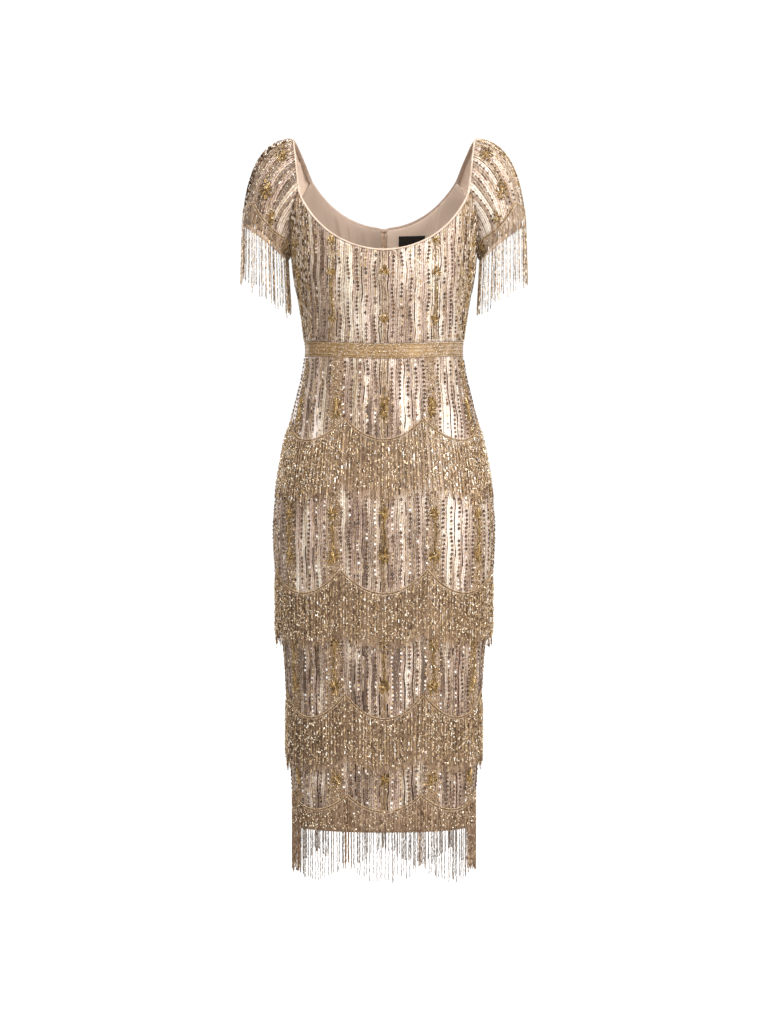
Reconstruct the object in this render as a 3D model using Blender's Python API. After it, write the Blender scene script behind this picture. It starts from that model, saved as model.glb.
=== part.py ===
"""Sheath dress with cap sleeves, a beaded waistband and four tiers of bead fringe, filled out as it is worn.

Metres, +Z up, the front towards -Y and the wearer's left towards +X. The origin lies midway between
the two shoulder tops, so heights are negative. The tables are in millimetres. The dress is hollow: every
piece of cloth is a thin wall whose outer face is worked out from the sections below.
"""

import math
from collections import namedtuple

import bpy
import numpy as np

MM = 0.001

# Cloth, beads and the room between pieces
SEAM_GAP = 0.3 * MM
LAID_GAP = 0.5 * MM
FRINGE_GAP = 1.0 * MM
CLOTH = 1.8 * MM
LINING = 1.0 * MM
BAND_CLOTH = 2.2 * MM
BAND_PROUD = 0.6 * MM
BINDING_WIDTH = 2.4 * MM
BINDING_THICKNESS = 2.6 * MM
BINDING_PROUD = 0.3 * MM
CORD_HEIGHT = 4.5 * MM
CORD_THICKNESS = 2.8 * MM
FRINGE_THICKNESS = 2.0 * MM

# The dress's outer face from the shoulders to the hem: a row for each level section
Section = namedtuple("Section", "height half_width front back")
SECTIONS = (
    Section(-20, 148, 84, 88),
    Section(-56, 150, 90, 94),
    Section(-85, 151, 97, 98),
    Section(-110, 154, 106, 101),
    Section(-134, 152, 112, 102),
    Section(-158, 147, 115, 102),
    Section(-178, 143, 118, 102),
    Section(-205, 140, 119, 101),
    Section(-225, 137, 117, 100),
    Section(-250, 131.5, 111, 97),
    Section(-274, 127.5, 104, 93),
    Section(-300, 124, 97, 90),
    Section(-327, 121, 93, 88),
    Section(-357, 124.5, 97, 93),
    Section(-411, 137, 105, 104),
    Section(-465, 151, 112, 115),
    Section(-520, 161.5, 116, 122),
    Section(-592, 170, 118, 125),
    Section(-654, 168.5, 116, 122),
    Section(-700, 164, 114, 118),
    Section(-787, 155, 108, 111),
    Section(-880, 149, 104, 106),
    Section(-972, 143.3, 101, 102),
    Section(-1060, 137.6, 99, 100),
)
ROUNDNESS = 2.25
QUARTER_STEPS = 48

# Fullness that the bust darts give the front, either side of the centre
BUST_FULLNESS = 0.06
BUST_AROUND = 0.23
BUST_SPREAD = 0.13
BUST_HEIGHT = -222 * MM
BUST_TALL = 42 * MM

# Neck edge: an elliptical scoop in front and a shallower one behind
Scoop = namedtuple("Scoop", "lowest half_width rise")
FRONT_NECK = Scoop(-184 * MM, 140.5 * MM, 153 * MM)
BACK_NECK = Scoop(-125.5 * MM, 149 * MM, 190 * MM)
NECK_TRIES = 12
ZIP_NOTCH_WIDTH = 5 * MM
ZIP_NOTCH_DEPTH = 6 * MM

# Where the front and the back meet the sleeves: a row for each height of the armhole, from the underarm up
Armhole = namedtuple("Armhole", "height side")
UNDERARM = -178 * MM
FRONT_ARMHOLE = (
    Armhole(-158, 143.5),
    Armhole(-134, 143),
    Armhole(-110, 139),
    Armhole(-85, 130),
)
BACK_ARMHOLE = (
    Armhole(-158, 143.5),
    Armhole(-134, 142.5),
    Armhole(-110, 138),
    Armhole(-83, 129),
    Armhole(-55, 115),
)
SIDE_SEAM_HEIGHTS = (-274 * MM, -228 * MM)

# The sleeve's own neck edge, from the front of the neck over the shoulder top to the back
EdgePoint = namedtuple("EdgePoint", "side depth height")
SHOULDER_EDGE = (
    EdgePoint(133.5, -51, -58),
    EdgePoint(136.5, -38, -29),
    EdgePoint(140, -17, -6),
    EdgePoint(141, 0, 0),
    EdgePoint(137, 17, -5),
    EdgePoint(130, 38, -19),
    EdgePoint(122, 55, -37),
)
SHOULDER_TOP = 3

# The sleeve's hem is a ring that leans outwards and arches a little at the front and the back
CUFF_CENTRE = np.array((184, 0, -160)) * MM
CUFF_OUTER = np.array((218, 0, -132)) * MM
CUFF_HALF_DEPTH = 58 * MM
CUFF_ARCH = 7 * MM
SLEEVE_ROWS = 6
SLEEVE_SEAM_ROOM = 1.3 * MM

# How a line of the sleeve leaves the shoulder and how it hangs at the hem, in lengths of that line
Pull = namedtuple("Pull", "out forward down")
LEAVES_OVER = Pull(1.14, 0.30, 0.03)
LEAVES_UNDER = Pull(0.55, 0.30, 0.82)
HANGS_OVER = Pull(0.10, 0.0, 1.23)
HANGS_UNDER = Pull(-0.13, 0.0, 0.93)

# The sleeve's scalloped cord, from the hem up, and the fringe that hangs from it
SLEEVE_SCALLOPS = 360 / 105
SLEEVE_CORD_LOW = 16 * MM
SLEEVE_CORD_CUSP = 30 * MM
SLEEVE_CORD_MOST = 0.58
SLEEVE_CORD_ROOM = 2.7 * MM
SLEEVE_FRINGE_BELOW_HEM = 88 * MM
SLEEVE_FRINGE_LOWEST = -266 * MM
SLEEVE_FRINGE_FLARE = 2 * MM
SLEEVE_FRINGE_LEAN = 4 * MM

# Columns of the sections, and the scallops that they carry
COLUMNS = 56
SCALLOPS = 7

# Waistband: level behind and a little lower at the centre front
WAIST_MIDDLE = -326 * MM
WAIST_DIP = 8 * MM
WAIST_HEIGHT = 22.5 * MM

SKIRT_HEIGHTS = tuple(
    height * MM for height in (-375, -420, -470, -530, -592, -654, -720, -787, -880, -972, -1060)
)

# Bead tiers: heights of the scalloped cord and of the fringe's ends
Tier = namedtuple("Tier", "cusp low end_cusp end_low rows opens")
TIERS = (
    Tier(-437, -469, -544, -560, 4, True),
    Tier(-665, -700, -770, -785, 2, False),
    Tier(-852, -889, -955, -975, 2, False),
    Tier(-1004, -1029, -1107, -1134, 2, False),
)

# Concealed zip at the centre back
ZIP_TOP = -129 * MM
ZIP_FOOT = -600 * MM
TAPE_THICKNESS = 0.8 * MM
TAPE_WIDTH = 12 * MM
TAPE_MIDDLE_GAP = 0.4 * MM
LINING_FROM_ZIP = 4.5 * MM

SLIDER_TOP = -128.5 * MM
SLIDER_HEIGHT = 12 * MM
SLIDER_WIDTH = 7 * MM
SLIDER_THICKNESS = 1.8 * MM
LUG_WIDTH = 1.1 * MM
LUG_HEIGHT = 3.4 * MM
LUG_REACH = 4.2 * MM
PIN_RADIUS = 0.6 * MM
TAB_EYE_RADIUS = 1.7 * MM
TAB_HOLE_RADIUS = 0.9 * MM
TAB_WIDTH = 3.8 * MM
TAB_NECK_WIDTH = 3.0 * MM
TAB_LENGTH = 22 * MM
TAB_FOOT_RADIUS = 3 * MM
TAB_THICKNESS = 1.2 * MM
ROUND_SIDES = 20

LABEL_WIDTH = 43 * MM
LABEL_HEIGHT = 20 * MM
LABEL_FROM_ZIP = 24 * MM
LABEL_TOP = -138 * MM
LABEL_THICKNESS = 0.8 * MM
LABEL_GAP = 0.6 * MM
LABEL_COLUMNS = 4
LABEL_ROWS = 3

SMOOTH_BELOW = math.radians(40)


# ---------------------------------------------------------------- the dress's form


def table_column(table, name):
    return np.array([getattr(row, name) for row in table], float) * MM


SECTION_HEIGHTS = table_column(SECTIONS, "height")[::-1]
SECTION_SIZES = [table_column(SECTIONS, name)[::-1] for name in ("half_width", "front", "back")]
SECTION_SLOPES = [np.gradient(sizes, SECTION_HEIGHTS) for sizes in SECTION_SIZES]


def section_at(height):
    """Half width, front depth and back depth at a height, on a smooth curve through the rows of SECTIONS."""
    last = len(SECTION_HEIGHTS) - 2
    low = int(np.clip(np.searchsorted(SECTION_HEIGHTS, height) - 1, 0, last))
    step = SECTION_HEIGHTS[low + 1] - SECTION_HEIGHTS[low]
    t = (height - SECTION_HEIGHTS[low]) / step
    sizes = []
    for size, slope in zip(SECTION_SIZES, SECTION_SLOPES):
        start = (1 + 2 * t) * (1 - t) ** 2 * size[low] + t * (1 - t) ** 2 * step * slope[low]
        end = t**2 * (3 - 2 * t) * size[low + 1] + t**2 * (t - 1) * step * slope[low + 1]
        sizes.append(start + end)
    return sizes


def quarter(half_width, depth):
    """A quarter section from its centre line to the side: sides, depths and the share of its length."""
    turn = np.linspace(0, math.pi / 2, QUARTER_STEPS)
    side = half_width * np.sin(turn) ** (2 / ROUNDNESS)
    deep = depth * np.abs(np.cos(turn)) ** (2 / ROUNDNESS)
    run = np.concatenate([[0], np.cumsum(np.hypot(np.diff(side), np.diff(deep)))])
    return side, deep, run / run[-1]


def bust(around, height):
    across = math.exp(-(((abs(around) - BUST_AROUND) / BUST_SPREAD) ** 2))
    return 1 + BUST_FULLNESS * across * math.exp(-(((height - BUST_HEIGHT) / BUST_TALL) ** 2))


def body_point(around, height):
    """A point on the outer face. around is 0 at the centre front, 0.5 or -0.5 at a side seam, 1 behind."""
    half_width, front, back = section_at(height)
    in_front = abs(around) <= 0.5
    side, deep, run = quarter(half_width, front * bust(around, height) if in_front else back)
    share = 2 * abs(around) if in_front else 2 * (1 - abs(around))
    x = math.copysign(float(np.interp(share, run, side)), around)
    y = float(np.interp(share, run, deep))
    return np.array((x, -y if in_front else y, height))


def around_at(side, height, in_front):
    """The place around the section at which it reaches this far to the left."""
    half_width, front, back = section_at(height)
    sides, _, run = quarter(half_width, front if in_front else back)
    share = float(np.interp(side, sides, run))
    return share / 2 if in_front else 1 - share / 2


def neck_height(side, scoop):
    return scoop.lowest + scoop.rise * (1 - math.sqrt(max(1 - (side / scoop.half_width) ** 2, 0)))


def neck_height_at(around, scoop):
    """Height of the neck edge at a place around the dress, found by going up the cloth to meet the scoop."""
    height = scoop.lowest
    for _ in range(NECK_TRIES):
        height = neck_height(body_point(around, height)[0], scoop)
    return height


def waist_height(around):
    return WAIST_MIDDLE - (WAIST_DIP * math.cos(math.pi * around) ** 2 if abs(around) < 0.5 else 0)


def scallop_height(around, cusp, low, count=SCALLOPS):
    """Height of a scalloped line: low in the middle of each scallop and sharp where two meet."""
    across = around * count / 2
    return low + (cusp - low) * (2 * (across - round(across))) ** 2


# ---------------------------------------------------------------- solids


def finish(name, colour, roughness, metallic=0.0):
    material = bpy.data.materials.new(name)
    material.use_nodes = True
    shader = material.node_tree.nodes["Principled BSDF"]
    shader.inputs["Base Color"].default_value = (*colour, 1)
    shader.inputs["Roughness"].default_value = roughness
    shader.inputs["Metallic"].default_value = metallic
    return material


def new_object(name, points, faces, material):
    mesh = bpy.data.meshes.new(name)
    mesh.from_pydata([tuple(map(float, point)) for point in points], [], faces)
    mesh.validate()
    mesh.materials.append(material)
    mesh.shade_smooth()
    mesh.set_sharp_from_angle(angle=SMOOTH_BELOW)
    thing = bpy.data.objects.new(name, mesh)
    bpy.context.scene.collection.objects.link(thing)
    return thing


def steps_along(grid, axis, closed=False):
    """Central differences of a grid of points along its rows or columns."""
    if closed:
        return np.roll(grid, -1, axis) - np.roll(grid, 1, axis)
    return np.gradient(grid, axis=axis)


def unit(vectors):
    return vectors / np.maximum(np.linalg.norm(vectors, axis=-1, keepdims=True), 1e-12)


def outward(grid, closed=False):
    """Unit vectors out of the cloth. Rows run upwards, and front columns towards the wearer's left."""
    return unit(np.cross(steps_along(grid, 1, closed), steps_along(grid, 0)))


def trimmed(grid, bottom=0.0, top=0.0, first=0.0, last=0.0):
    """The grid with its border rows and columns drawn in by these lengths, which leaves room at the seams."""
    grid = grid.copy()
    grid[0] += unit(grid[1] - grid[0]) * bottom
    grid[-1] += unit(grid[-2] - grid[-1]) * top
    grid[:, 0] += unit(grid[:, 1] - grid[:, 0]) * first
    grid[:, -1] += unit(grid[:, -2] - grid[:, -1]) * last
    return grid


def mirrored(grid):
    """The wearer's right-hand copy of a left-hand grid, with its columns still running the same way round."""
    return grid[:, ::-1] * np.array((-1, 1, 1))


def wall(name, grid, material, thickness, lift=0.0, closed=False, normals=None):
    """A closed wall on a grid of points. lift is how far its outer face stands out from them."""
    normals = outward(grid, closed) if normals is None else normals
    rows, columns = grid.shape[:2]
    outer = grid + normals * lift
    inner = outer - normals * thickness
    points = np.concatenate([outer.reshape(-1, 3), inner.reshape(-1, 3)])

    def at(row, column, inside=False):
        return inside * rows * columns + row * columns + column % columns

    around = range(columns if closed else columns - 1)
    faces = []
    for row in range(rows - 1):
        for c in around:
            corners = ((row, c), (row, c + 1), (row + 1, c + 1), (row + 1, c))
            faces.append([at(*corner) for corner in corners])
            faces.append([at(*corner, True) for corner in (corners[0], *reversed(corners[1:]))])
    for c in around:
        top = rows - 1
        faces.append((at(0, c), at(0, c, True), at(0, c + 1, True), at(0, c + 1)))
        faces.append((at(top, c), at(top, c + 1), at(top, c + 1, True), at(top, c, True)))
    if not closed:
        for row in range(rows - 1):
            last = columns - 1
            faces.append((at(row, 0), at(row + 1, 0), at(row + 1, 0, True), at(row, 0, True)))
            faces.append((at(row, last), at(row, last, True), at(row + 1, last, True), at(row + 1, last)))
    return new_object(name, points, faces, material)


# ---------------------------------------------------------------- panels of the bodice and the skirt


def side_rows(armhole):
    """Heights up a panel's side from the waist to the armhole's top, with the side of each armhole row."""
    below = [(waist_height(0.5) + WAIST_HEIGHT / 2, None)]
    below += [(height, None) for height in SIDE_SEAM_HEIGHTS]
    below += [(UNDERARM, None)]
    return below + [(row.height * MM, row.side * MM) for row in armhole]


def bodice_grid(armhole, scoop, in_front, shares):
    """Points of a bodice panel. shares runs from its centre line, 0, to its side, 1 or -1."""
    rows = side_rows(armhole)
    foot, top = rows[0][0], rows[-1][0]
    grid = []
    for height, side in rows:
        edge = 0.5 if side is None else around_at(side, height, in_front)
        top_edge = around_at(rows[-1][1], top, in_front)
        up = (height - foot) / (top - foot)
        line = []
        for share in shares:
            if in_front:
                around, neck_around = share * edge, share * top_edge
            else:
                around = math.copysign(1 - abs(share) * (1 - edge), share)
                neck_around = math.copysign(1 - abs(share) * (1 - top_edge), share)
            start = waist_height(around) + WAIST_HEIGHT / 2
            line.append(body_point(around, start + up * (neck_height_at(neck_around, scoop) - start)))
        grid.append(line)
    return np.array(grid)


def front_bodice_grid():
    half = COLUMNS // 4
    return bodice_grid(FRONT_ARMHOLE, FRONT_NECK, True, [i / half for i in range(-half, half + 1)])


def back_bodice_grid():
    """The left half, from its side to the centre back, with a small notch at the top of the zip."""
    half = COLUMNS // 4
    notch_share = 2 * (1 - around_at(ZIP_NOTCH_WIDTH, BACK_NECK.lowest, False))
    shares = [1 - i / half for i in range(half)] + [notch_share, 0.0]
    grid = bodice_grid(BACK_ARMHOLE, BACK_NECK, False, [max(share, 1e-9) for share in shares])
    grid[-1, -1, 2] -= ZIP_NOTCH_DEPTH
    return grid


def level_grid(arounds, heights):
    """Points at these places around the dress. heights are numbers, or functions of the place."""
    return np.array(
        [[body_point(a, height(a) if callable(height) else height) for a in arounds] for height in heights]
    )


def skirt_heights():
    return [*reversed(SKIRT_HEIGHTS), lambda around: waist_height(around) - WAIST_HEIGHT / 2]


def front_arounds():
    half = COLUMNS // 4
    return [i / (2 * half) for i in range(-half, half + 1)]


def back_arounds():
    half = COLUMNS // 4
    return [0.5 + i / (2 * half) for i in range(half)] + [1.0]


def seamed(grid):
    return trimmed(grid, *[SEAM_GAP / 2] * 4)


def add_bodice(beaded, lining):
    front, back = seamed(front_bodice_grid()), seamed(back_bodice_grid())
    wall("bodice_front", front, beaded, CLOTH)
    wall("bodice_back_left", back, beaded, CLOTH)
    wall("bodice_back_right", mirrored(back), beaded, CLOTH)
    # The lining covers the inside of the back, clear of the zip's coils and just short of the neck edge
    depth = CLOTH + TAPE_THICKNESS + 2 * SEAM_GAP
    inside = trimmed(np.delete(back, -2, axis=1), top=2 * SEAM_GAP, last=LINING_FROM_ZIP)
    wall("lining_back_left", inside, lining, LINING, -depth)
    wall("lining_back_right", mirrored(inside), lining, LINING, -depth)
    return front, back


def add_waistband(band):
    def lower(around):
        return waist_height(around) - WAIST_HEIGHT / 2

    def upper(around):
        return waist_height(around) + WAIST_HEIGHT / 2

    back = seamed(level_grid(back_arounds(), (lower, upper)))
    wall("waistband_front", seamed(level_grid(front_arounds(), (lower, upper))), band, BAND_CLOTH, BAND_PROUD)
    wall("waistband_back_left", back, band, BAND_CLOTH, BAND_PROUD)
    wall("waistband_back_right", mirrored(back), band, BAND_CLOTH, BAND_PROUD)


def add_skirt(beaded):
    back = seamed(level_grid(back_arounds(), skirt_heights()))
    wall("skirt_front", seamed(level_grid(front_arounds(), skirt_heights())), beaded, CLOTH)
    wall("skirt_back_left", back, beaded, CLOTH)
    wall("skirt_back_right", mirrored(back), beaded, CLOTH)


# ---------------------------------------------------------------- tiers


def hanging_point(around, from_height, height):
    """Where a strand from from_height lies lower down: straight below, or on the cloth if that swells out."""
    cloth = body_point(around, height)
    hung = body_point(around, from_height)
    out = hung if np.linalg.norm(hung[:2]) > np.linalg.norm(cloth[:2]) else cloth
    return np.array((out[0], out[1], height))


def ring_arounds(opens):
    """Places round a tier, from the centre back to the centre back. A closed ring leaves out the last."""
    places = [-1 + 2 * i / COLUMNS for i in range(COLUMNS + 1)]
    return places if opens else places[:-1]


def add_tier(number, tier, cord, fringe):
    cusp, low = tier.cusp * MM, tier.low * MM
    end_cusp, end_low = tier.end_cusp * MM, tier.end_low * MM
    places = ring_arounds(tier.opens)
    lines = [scallop_height(a, cusp, low) for a in places]
    ends = [scallop_height(a, end_cusp, end_low) for a in places]
    sides = {"first": SEAM_GAP, "last": SEAM_GAP} if tier.opens else {}

    heights = ([line + shift for line in lines] for shift in (-CORD_HEIGHT / 2, CORD_HEIGHT / 2))
    cord_grid = np.array([[body_point(a, h) for a, h in zip(places, row)] for row in heights])
    lift = LAID_GAP + CORD_THICKNESS
    wall(f"tier_cord_{number}", trimmed(cord_grid, **sides), cord, CORD_THICKNESS, lift, not tier.opens)

    tops = [line - CORD_HEIGHT / 2 - FRINGE_GAP for line in lines]
    grid = []
    for row in range(tier.rows):
        up = row / (tier.rows - 1)
        places_at = zip(places, ends, tops)
        grid.append([hanging_point(a, top, end + up * (top - end)) for a, end, top in places_at])
    hung = trimmed(np.array(grid), **sides)
    lift = FRINGE_GAP + FRINGE_THICKNESS
    wall(f"tier_fringe_{number}", hung, fringe, FRINGE_THICKNESS, lift, not tier.opens)


# ---------------------------------------------------------------- sleeves


def sleeve_rim(front, back):
    """The left sleeve's upper edge: up the front armhole, over the shoulder and down the back armhole."""
    first = len(SIDE_SEAM_HEIGHTS) + 1
    up_front = list(front[first:, -1])
    over = [np.array((row.side, row.depth, row.height)) * MM for row in SHOULDER_EDGE]
    down_back = list(back[first + 1 :, 0][::-1])
    return np.array(up_front + over + down_back), len(up_front) + SHOULDER_TOP


def cuff_turns(rim, top):
    """The turn round the hem for each point of the upper edge: pi at the underarm and 0 at the top."""
    run = np.concatenate([[0], np.cumsum(np.linalg.norm(np.diff(rim, axis=0), axis=1))])
    whole = run[-1] + np.linalg.norm(rim[0] - rim[-1])
    ahead = math.pi * (1 - run / run[top])
    behind = -math.pi * (run - run[top]) / (whole - run[top])
    return np.where(np.arange(len(rim)) <= top, ahead, behind)


def cuff_point(turn):
    across = (CUFF_OUTER - CUFF_CENTRE) * math.cos(turn)
    round_front = np.array((0, -CUFF_HALF_DEPTH * math.sin(turn), CUFF_ARCH * math.sin(turn) ** 2))
    return CUFF_CENTRE + across + round_front


def pull(over, under, turn):
    """A pull's direction at this turn, between that over the shoulder and that under the arm."""
    share = (1 - math.cos(turn)) / 2
    out, forward, down = (a + share * (b - a) for a, b in zip(over, under))
    return np.array((out, -forward * math.sin(turn), -down))


def sleeve_line(start, turn, ups):
    """Points of one line of the sleeve at these places from its hem, 0, to its upper edge, 1."""
    end = cuff_point(turn)
    length = float(np.linalg.norm(end - start))
    leave = pull(LEAVES_OVER, LEAVES_UNDER, turn) * length
    hang = pull(HANGS_OVER, HANGS_UNDER, turn) * length
    line = []
    for up in ups:
        t = 1 - up
        blend = ((1 + 2 * t) * (1 - t) ** 2, t * (1 - t) ** 2, t**2 * (3 - 2 * t), t**2 * (t - 1))
        line.append(blend[0] * start + blend[1] * leave + blend[2] * end + blend[3] * hang)
    return line


def sleeve_grid(rim, turns, ups):
    """Rows of sleeve points. ups holds each column's places up the sleeve."""
    columns = [sleeve_line(start, turn, places) for start, turn, places in zip(rim, turns, ups)]
    return np.array(columns).transpose(1, 0, 2)


def sleeve_cord_ups(rim, turns):
    """Each column's length, and how far up it the middle of the scalloped cord lies."""
    lengths = np.array([np.linalg.norm(cuff_point(turn) - start) for start, turn in zip(rim, turns)])
    cusp, low = SLEEVE_CORD_CUSP, SLEEVE_CORD_LOW
    above = [scallop_height(turn / math.pi, cusp, low, SLEEVE_SCALLOPS) for turn in turns]
    return lengths, np.minimum(above / lengths, SLEEVE_CORD_MOST)


def add_sleeve(side, place, rim, turns, beaded, cord, fringe):
    """One sleeve with its cord and fringe. place puts a left-hand grid on its own side."""
    rows = [row / SLEEVE_ROWS for row in range(SLEEVE_ROWS + 1)]
    cloth = trimmed(sleeve_grid(rim, turns, [rows] * len(rim)), top=SLEEVE_SEAM_ROOM)
    wall(f"sleeve_{side}", place(cloth), beaded, CLOTH, closed=True)

    lengths, middles = sleeve_cord_ups(rim, turns)
    halves = CORD_HEIGHT / 2 / lengths
    cord_grid = place(sleeve_grid(rim, turns, np.array([middles - halves, middles + halves]).T))
    lift = LAID_GAP + CORD_THICKNESS
    wall(f"sleeve_cord_{side}", cord_grid, cord, CORD_THICKNESS, lift, True)

    # The fringe lies on the cloth down to the hem, and hangs from there
    tops = middles - halves - SLEEVE_CORD_ROOM / lengths
    on_cloth = sleeve_grid(rim, turns, np.array([0 * tops, tops / 2, tops]).T)
    ends = on_cloth[0].copy()
    under = (1 - np.cos(turns)) / 2
    ends[:, 0] += SLEEVE_FRINGE_FLARE * (1 - under) - SLEEVE_FRINGE_LEAN * under
    ends[:, 2] = np.maximum(ends[:, 2] - SLEEVE_FRINGE_BELOW_HEM, SLEEVE_FRINGE_LOWEST)
    grid = place(np.concatenate([[ends], on_cloth]))
    lift = FRINGE_GAP + FRINGE_THICKNESS
    wall(f"sleeve_fringe_{side}", grid, fringe, FRINGE_THICKNESS, lift, True)
    return cloth


# ---------------------------------------------------------------- neck binding, zip and label


def add_binding(front, back, sleeve, binding):
    """One narrow bias strip round the whole neck edge, from the zip to the zip."""
    half = len(FRONT_ARMHOLE) + 1
    shoulder = slice(half, half + len(SHOULDER_EDGE))
    beside_notch = slice(0, -1)
    left_back = (back[-1, beside_notch], (back[-1] - back[-2])[beside_notch], outward(back)[-1, beside_notch])
    sleeve_normals = outward(sleeve, True)
    left_sleeve = (sleeve[-1, shoulder], (sleeve[-1] - sleeve[-2])[shoulder], sleeve_normals[-1, shoulder])
    front_edge = (front[-1], front[-1] - front[-2], outward(front)[-1])
    flip = np.array((-1, 1, 1))
    pieces = [
        [part[::-1] * flip for part in left_back],
        [part[::-1] * flip for part in left_sleeve],
        list(front_edge),
        list(left_sleeve),
        list(left_back),
    ]
    points, ups, normals = (np.concatenate([piece[i] for piece in pieces]) for i in range(3))
    along = unit(np.gradient(points, axis=0))
    normals = unit(normals - along * (normals * along).sum(1, keepdims=True))
    up = unit(ups - normals * (ups * normals).sum(1, keepdims=True))
    up = unit(up - along * (up * along).sum(1, keepdims=True))
    grid = np.array([points + up * SEAM_GAP, points + up * (SEAM_GAP + BINDING_WIDTH)])
    both = np.array([normals, normals])
    wall("neck_binding", grid, binding, BINDING_THICKNESS, BINDING_PROUD, normals=both)


def add_zip_tapes(tape, heights):
    far = TAPE_MIDDLE_GAP + TAPE_WIDTH
    grid = []
    for height in heights:
        middle = body_point(1.0, height)
        beyond = body_point(around_at(far, height, False), height)
        step = (beyond - middle) / far
        grid.append([middle + step * far, middle + step * TAPE_MIDDLE_GAP])
    grid = np.array(grid)
    lift = -(CLOTH + SEAM_GAP)
    wall("zip_tape_left", grid, tape, TAPE_THICKNESS, lift)
    wall("zip_tape_right", mirrored(grid), tape, TAPE_THICKNESS, lift)


def box(low, high):
    """Points and outward faces of a box."""
    points = [(x, y, z) for x in (low[0], high[0]) for y in (low[1], high[1]) for z in (low[2], high[2])]
    faces = [(0, 1, 3, 2), (4, 6, 7, 5), (0, 4, 5, 1), (2, 3, 7, 6), (0, 2, 6, 4), (1, 5, 7, 3)]
    return points, faces


def round_bar(radius, half_length, centre):
    """Points and outward faces of a round bar along X."""
    turns = [2 * math.pi * i / ROUND_SIDES for i in range(ROUND_SIDES)]
    ring = [(centre[1] + radius * math.cos(t), centre[2] + radius * math.sin(t)) for t in turns]
    points = [(centre[0] + x, y, z) for x in (-half_length, half_length) for y, z in ring]
    steps = [(i, (i + 1) % ROUND_SIDES) for i in range(ROUND_SIDES)]
    sides = [(this, following, ROUND_SIDES + following, ROUND_SIDES + this) for this, following in steps]
    ends = [tuple(reversed(range(ROUND_SIDES))), tuple(range(ROUND_SIDES, 2 * ROUND_SIDES))]
    return points, sides + ends


def combined(target, operation, name, shape, material):
    """The target with another shape joined to it or cut from it. The other shape stays as a hidden helper."""
    helper = new_object(name, *shape, material)
    helper.hide_render = True
    helper.display_type = "WIRE"
    modifier = target.modifiers.new(name, "BOOLEAN")
    modifier.operation = operation
    modifier.object = helper
    modifier.solver = "EXACT"


def pivot_place():
    """The pull tab's hinge axis, just outside the back at the top of the zip."""
    height = SLIDER_TOP - LUG_HEIGHT / 2
    plate_face = body_point(1.0, SLIDER_TOP)[1] + LAID_GAP + SLIDER_THICKNESS
    return np.array((0.0, plate_face + LUG_REACH - LUG_HEIGHT / 2, height))


def add_slider(metal):
    """A small plate on the zip with two lugs and the pin that the pull tab hangs from."""
    back_face = body_point(1.0, SLIDER_TOP)[1] + LAID_GAP
    half = SLIDER_WIDTH / 2
    low = (-half, back_face, SLIDER_TOP - SLIDER_HEIGHT)
    high = (half, back_face + SLIDER_THICKNESS, SLIDER_TOP)
    slider = new_object("zip_slider", *box(low, high), metal)
    reach = high[1] + LUG_REACH
    overlap = SLIDER_THICKNESS / 2
    for name, inner in (("lug_left", half - LUG_WIDTH), ("lug_right", -half)):
        lug = box((inner, high[1] - overlap, SLIDER_TOP - LUG_HEIGHT), (inner + LUG_WIDTH, reach, SLIDER_TOP))
        combined(slider, "UNION", name, lug, metal)
    combined(slider, "UNION", "hinge_pin", round_bar(PIN_RADIUS, half - LUG_WIDTH / 2, pivot_place()), metal)


def tab_shape():
    """The pull tab about its hinge axis: a round eye, a narrow neck and a wider rounded foot, along -Z."""
    neck = TAB_NECK_WIDTH / 2
    foot_centre = -TAB_LENGTH + TAB_FOOT_RADIUS
    turns = [math.pi * i / (ROUND_SIDES // 2) for i in range(ROUND_SIDES // 2 + 1)]
    foot = [(-TAB_FOOT_RADIUS * math.cos(t), foot_centre - TAB_FOOT_RADIUS * math.sin(t)) for t in turns]
    outline = [(-neck, 0.0), *foot, (neck, 0.0)]
    half = TAB_THICKNESS / 2
    points = [(x, y, z) for y in (-half, half) for x, z in outline]
    count = len(outline)
    sides = [(i, count + i, count + (i + 1) % count, (i + 1) % count) for i in range(count)]
    return points, [tuple(range(count)), tuple(reversed(range(count, 2 * count)))] + sides


def add_pull_tab(metal):
    tab = new_object("zip_pull_tab", *tab_shape(), metal)
    tab.location = pivot_place()
    eye = TAB_WIDTH / 2
    for name, operation, radius, half in (
        ("tab_eye", "UNION", TAB_EYE_RADIUS, eye),
        ("tab_hole", "DIFFERENCE", TAB_HOLE_RADIUS, 2 * eye),
    ):
        combined(tab, operation, name, round_bar(radius, half, (0, 0, 0)), metal)
        bpy.data.objects[name].location = tab.location


def add_label(cloth):
    """A blank woven label inside the back neck."""
    depth = CLOTH + TAPE_THICKNESS + 2 * SEAM_GAP + LINING + LABEL_GAP
    sides = [LABEL_FROM_ZIP + LABEL_WIDTH * (1 - i / (LABEL_COLUMNS - 1)) for i in range(LABEL_COLUMNS)]
    grid = []
    for row in range(LABEL_ROWS):
        height = LABEL_TOP - LABEL_HEIGHT * (1 - row / (LABEL_ROWS - 1))
        grid.append([body_point(around_at(side, height, False), height) for side in sides])
    wall("neck_label", np.array(grid), cloth, LABEL_THICKNESS, -depth)


# ---------------------------------------------------------------- the dress


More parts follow.
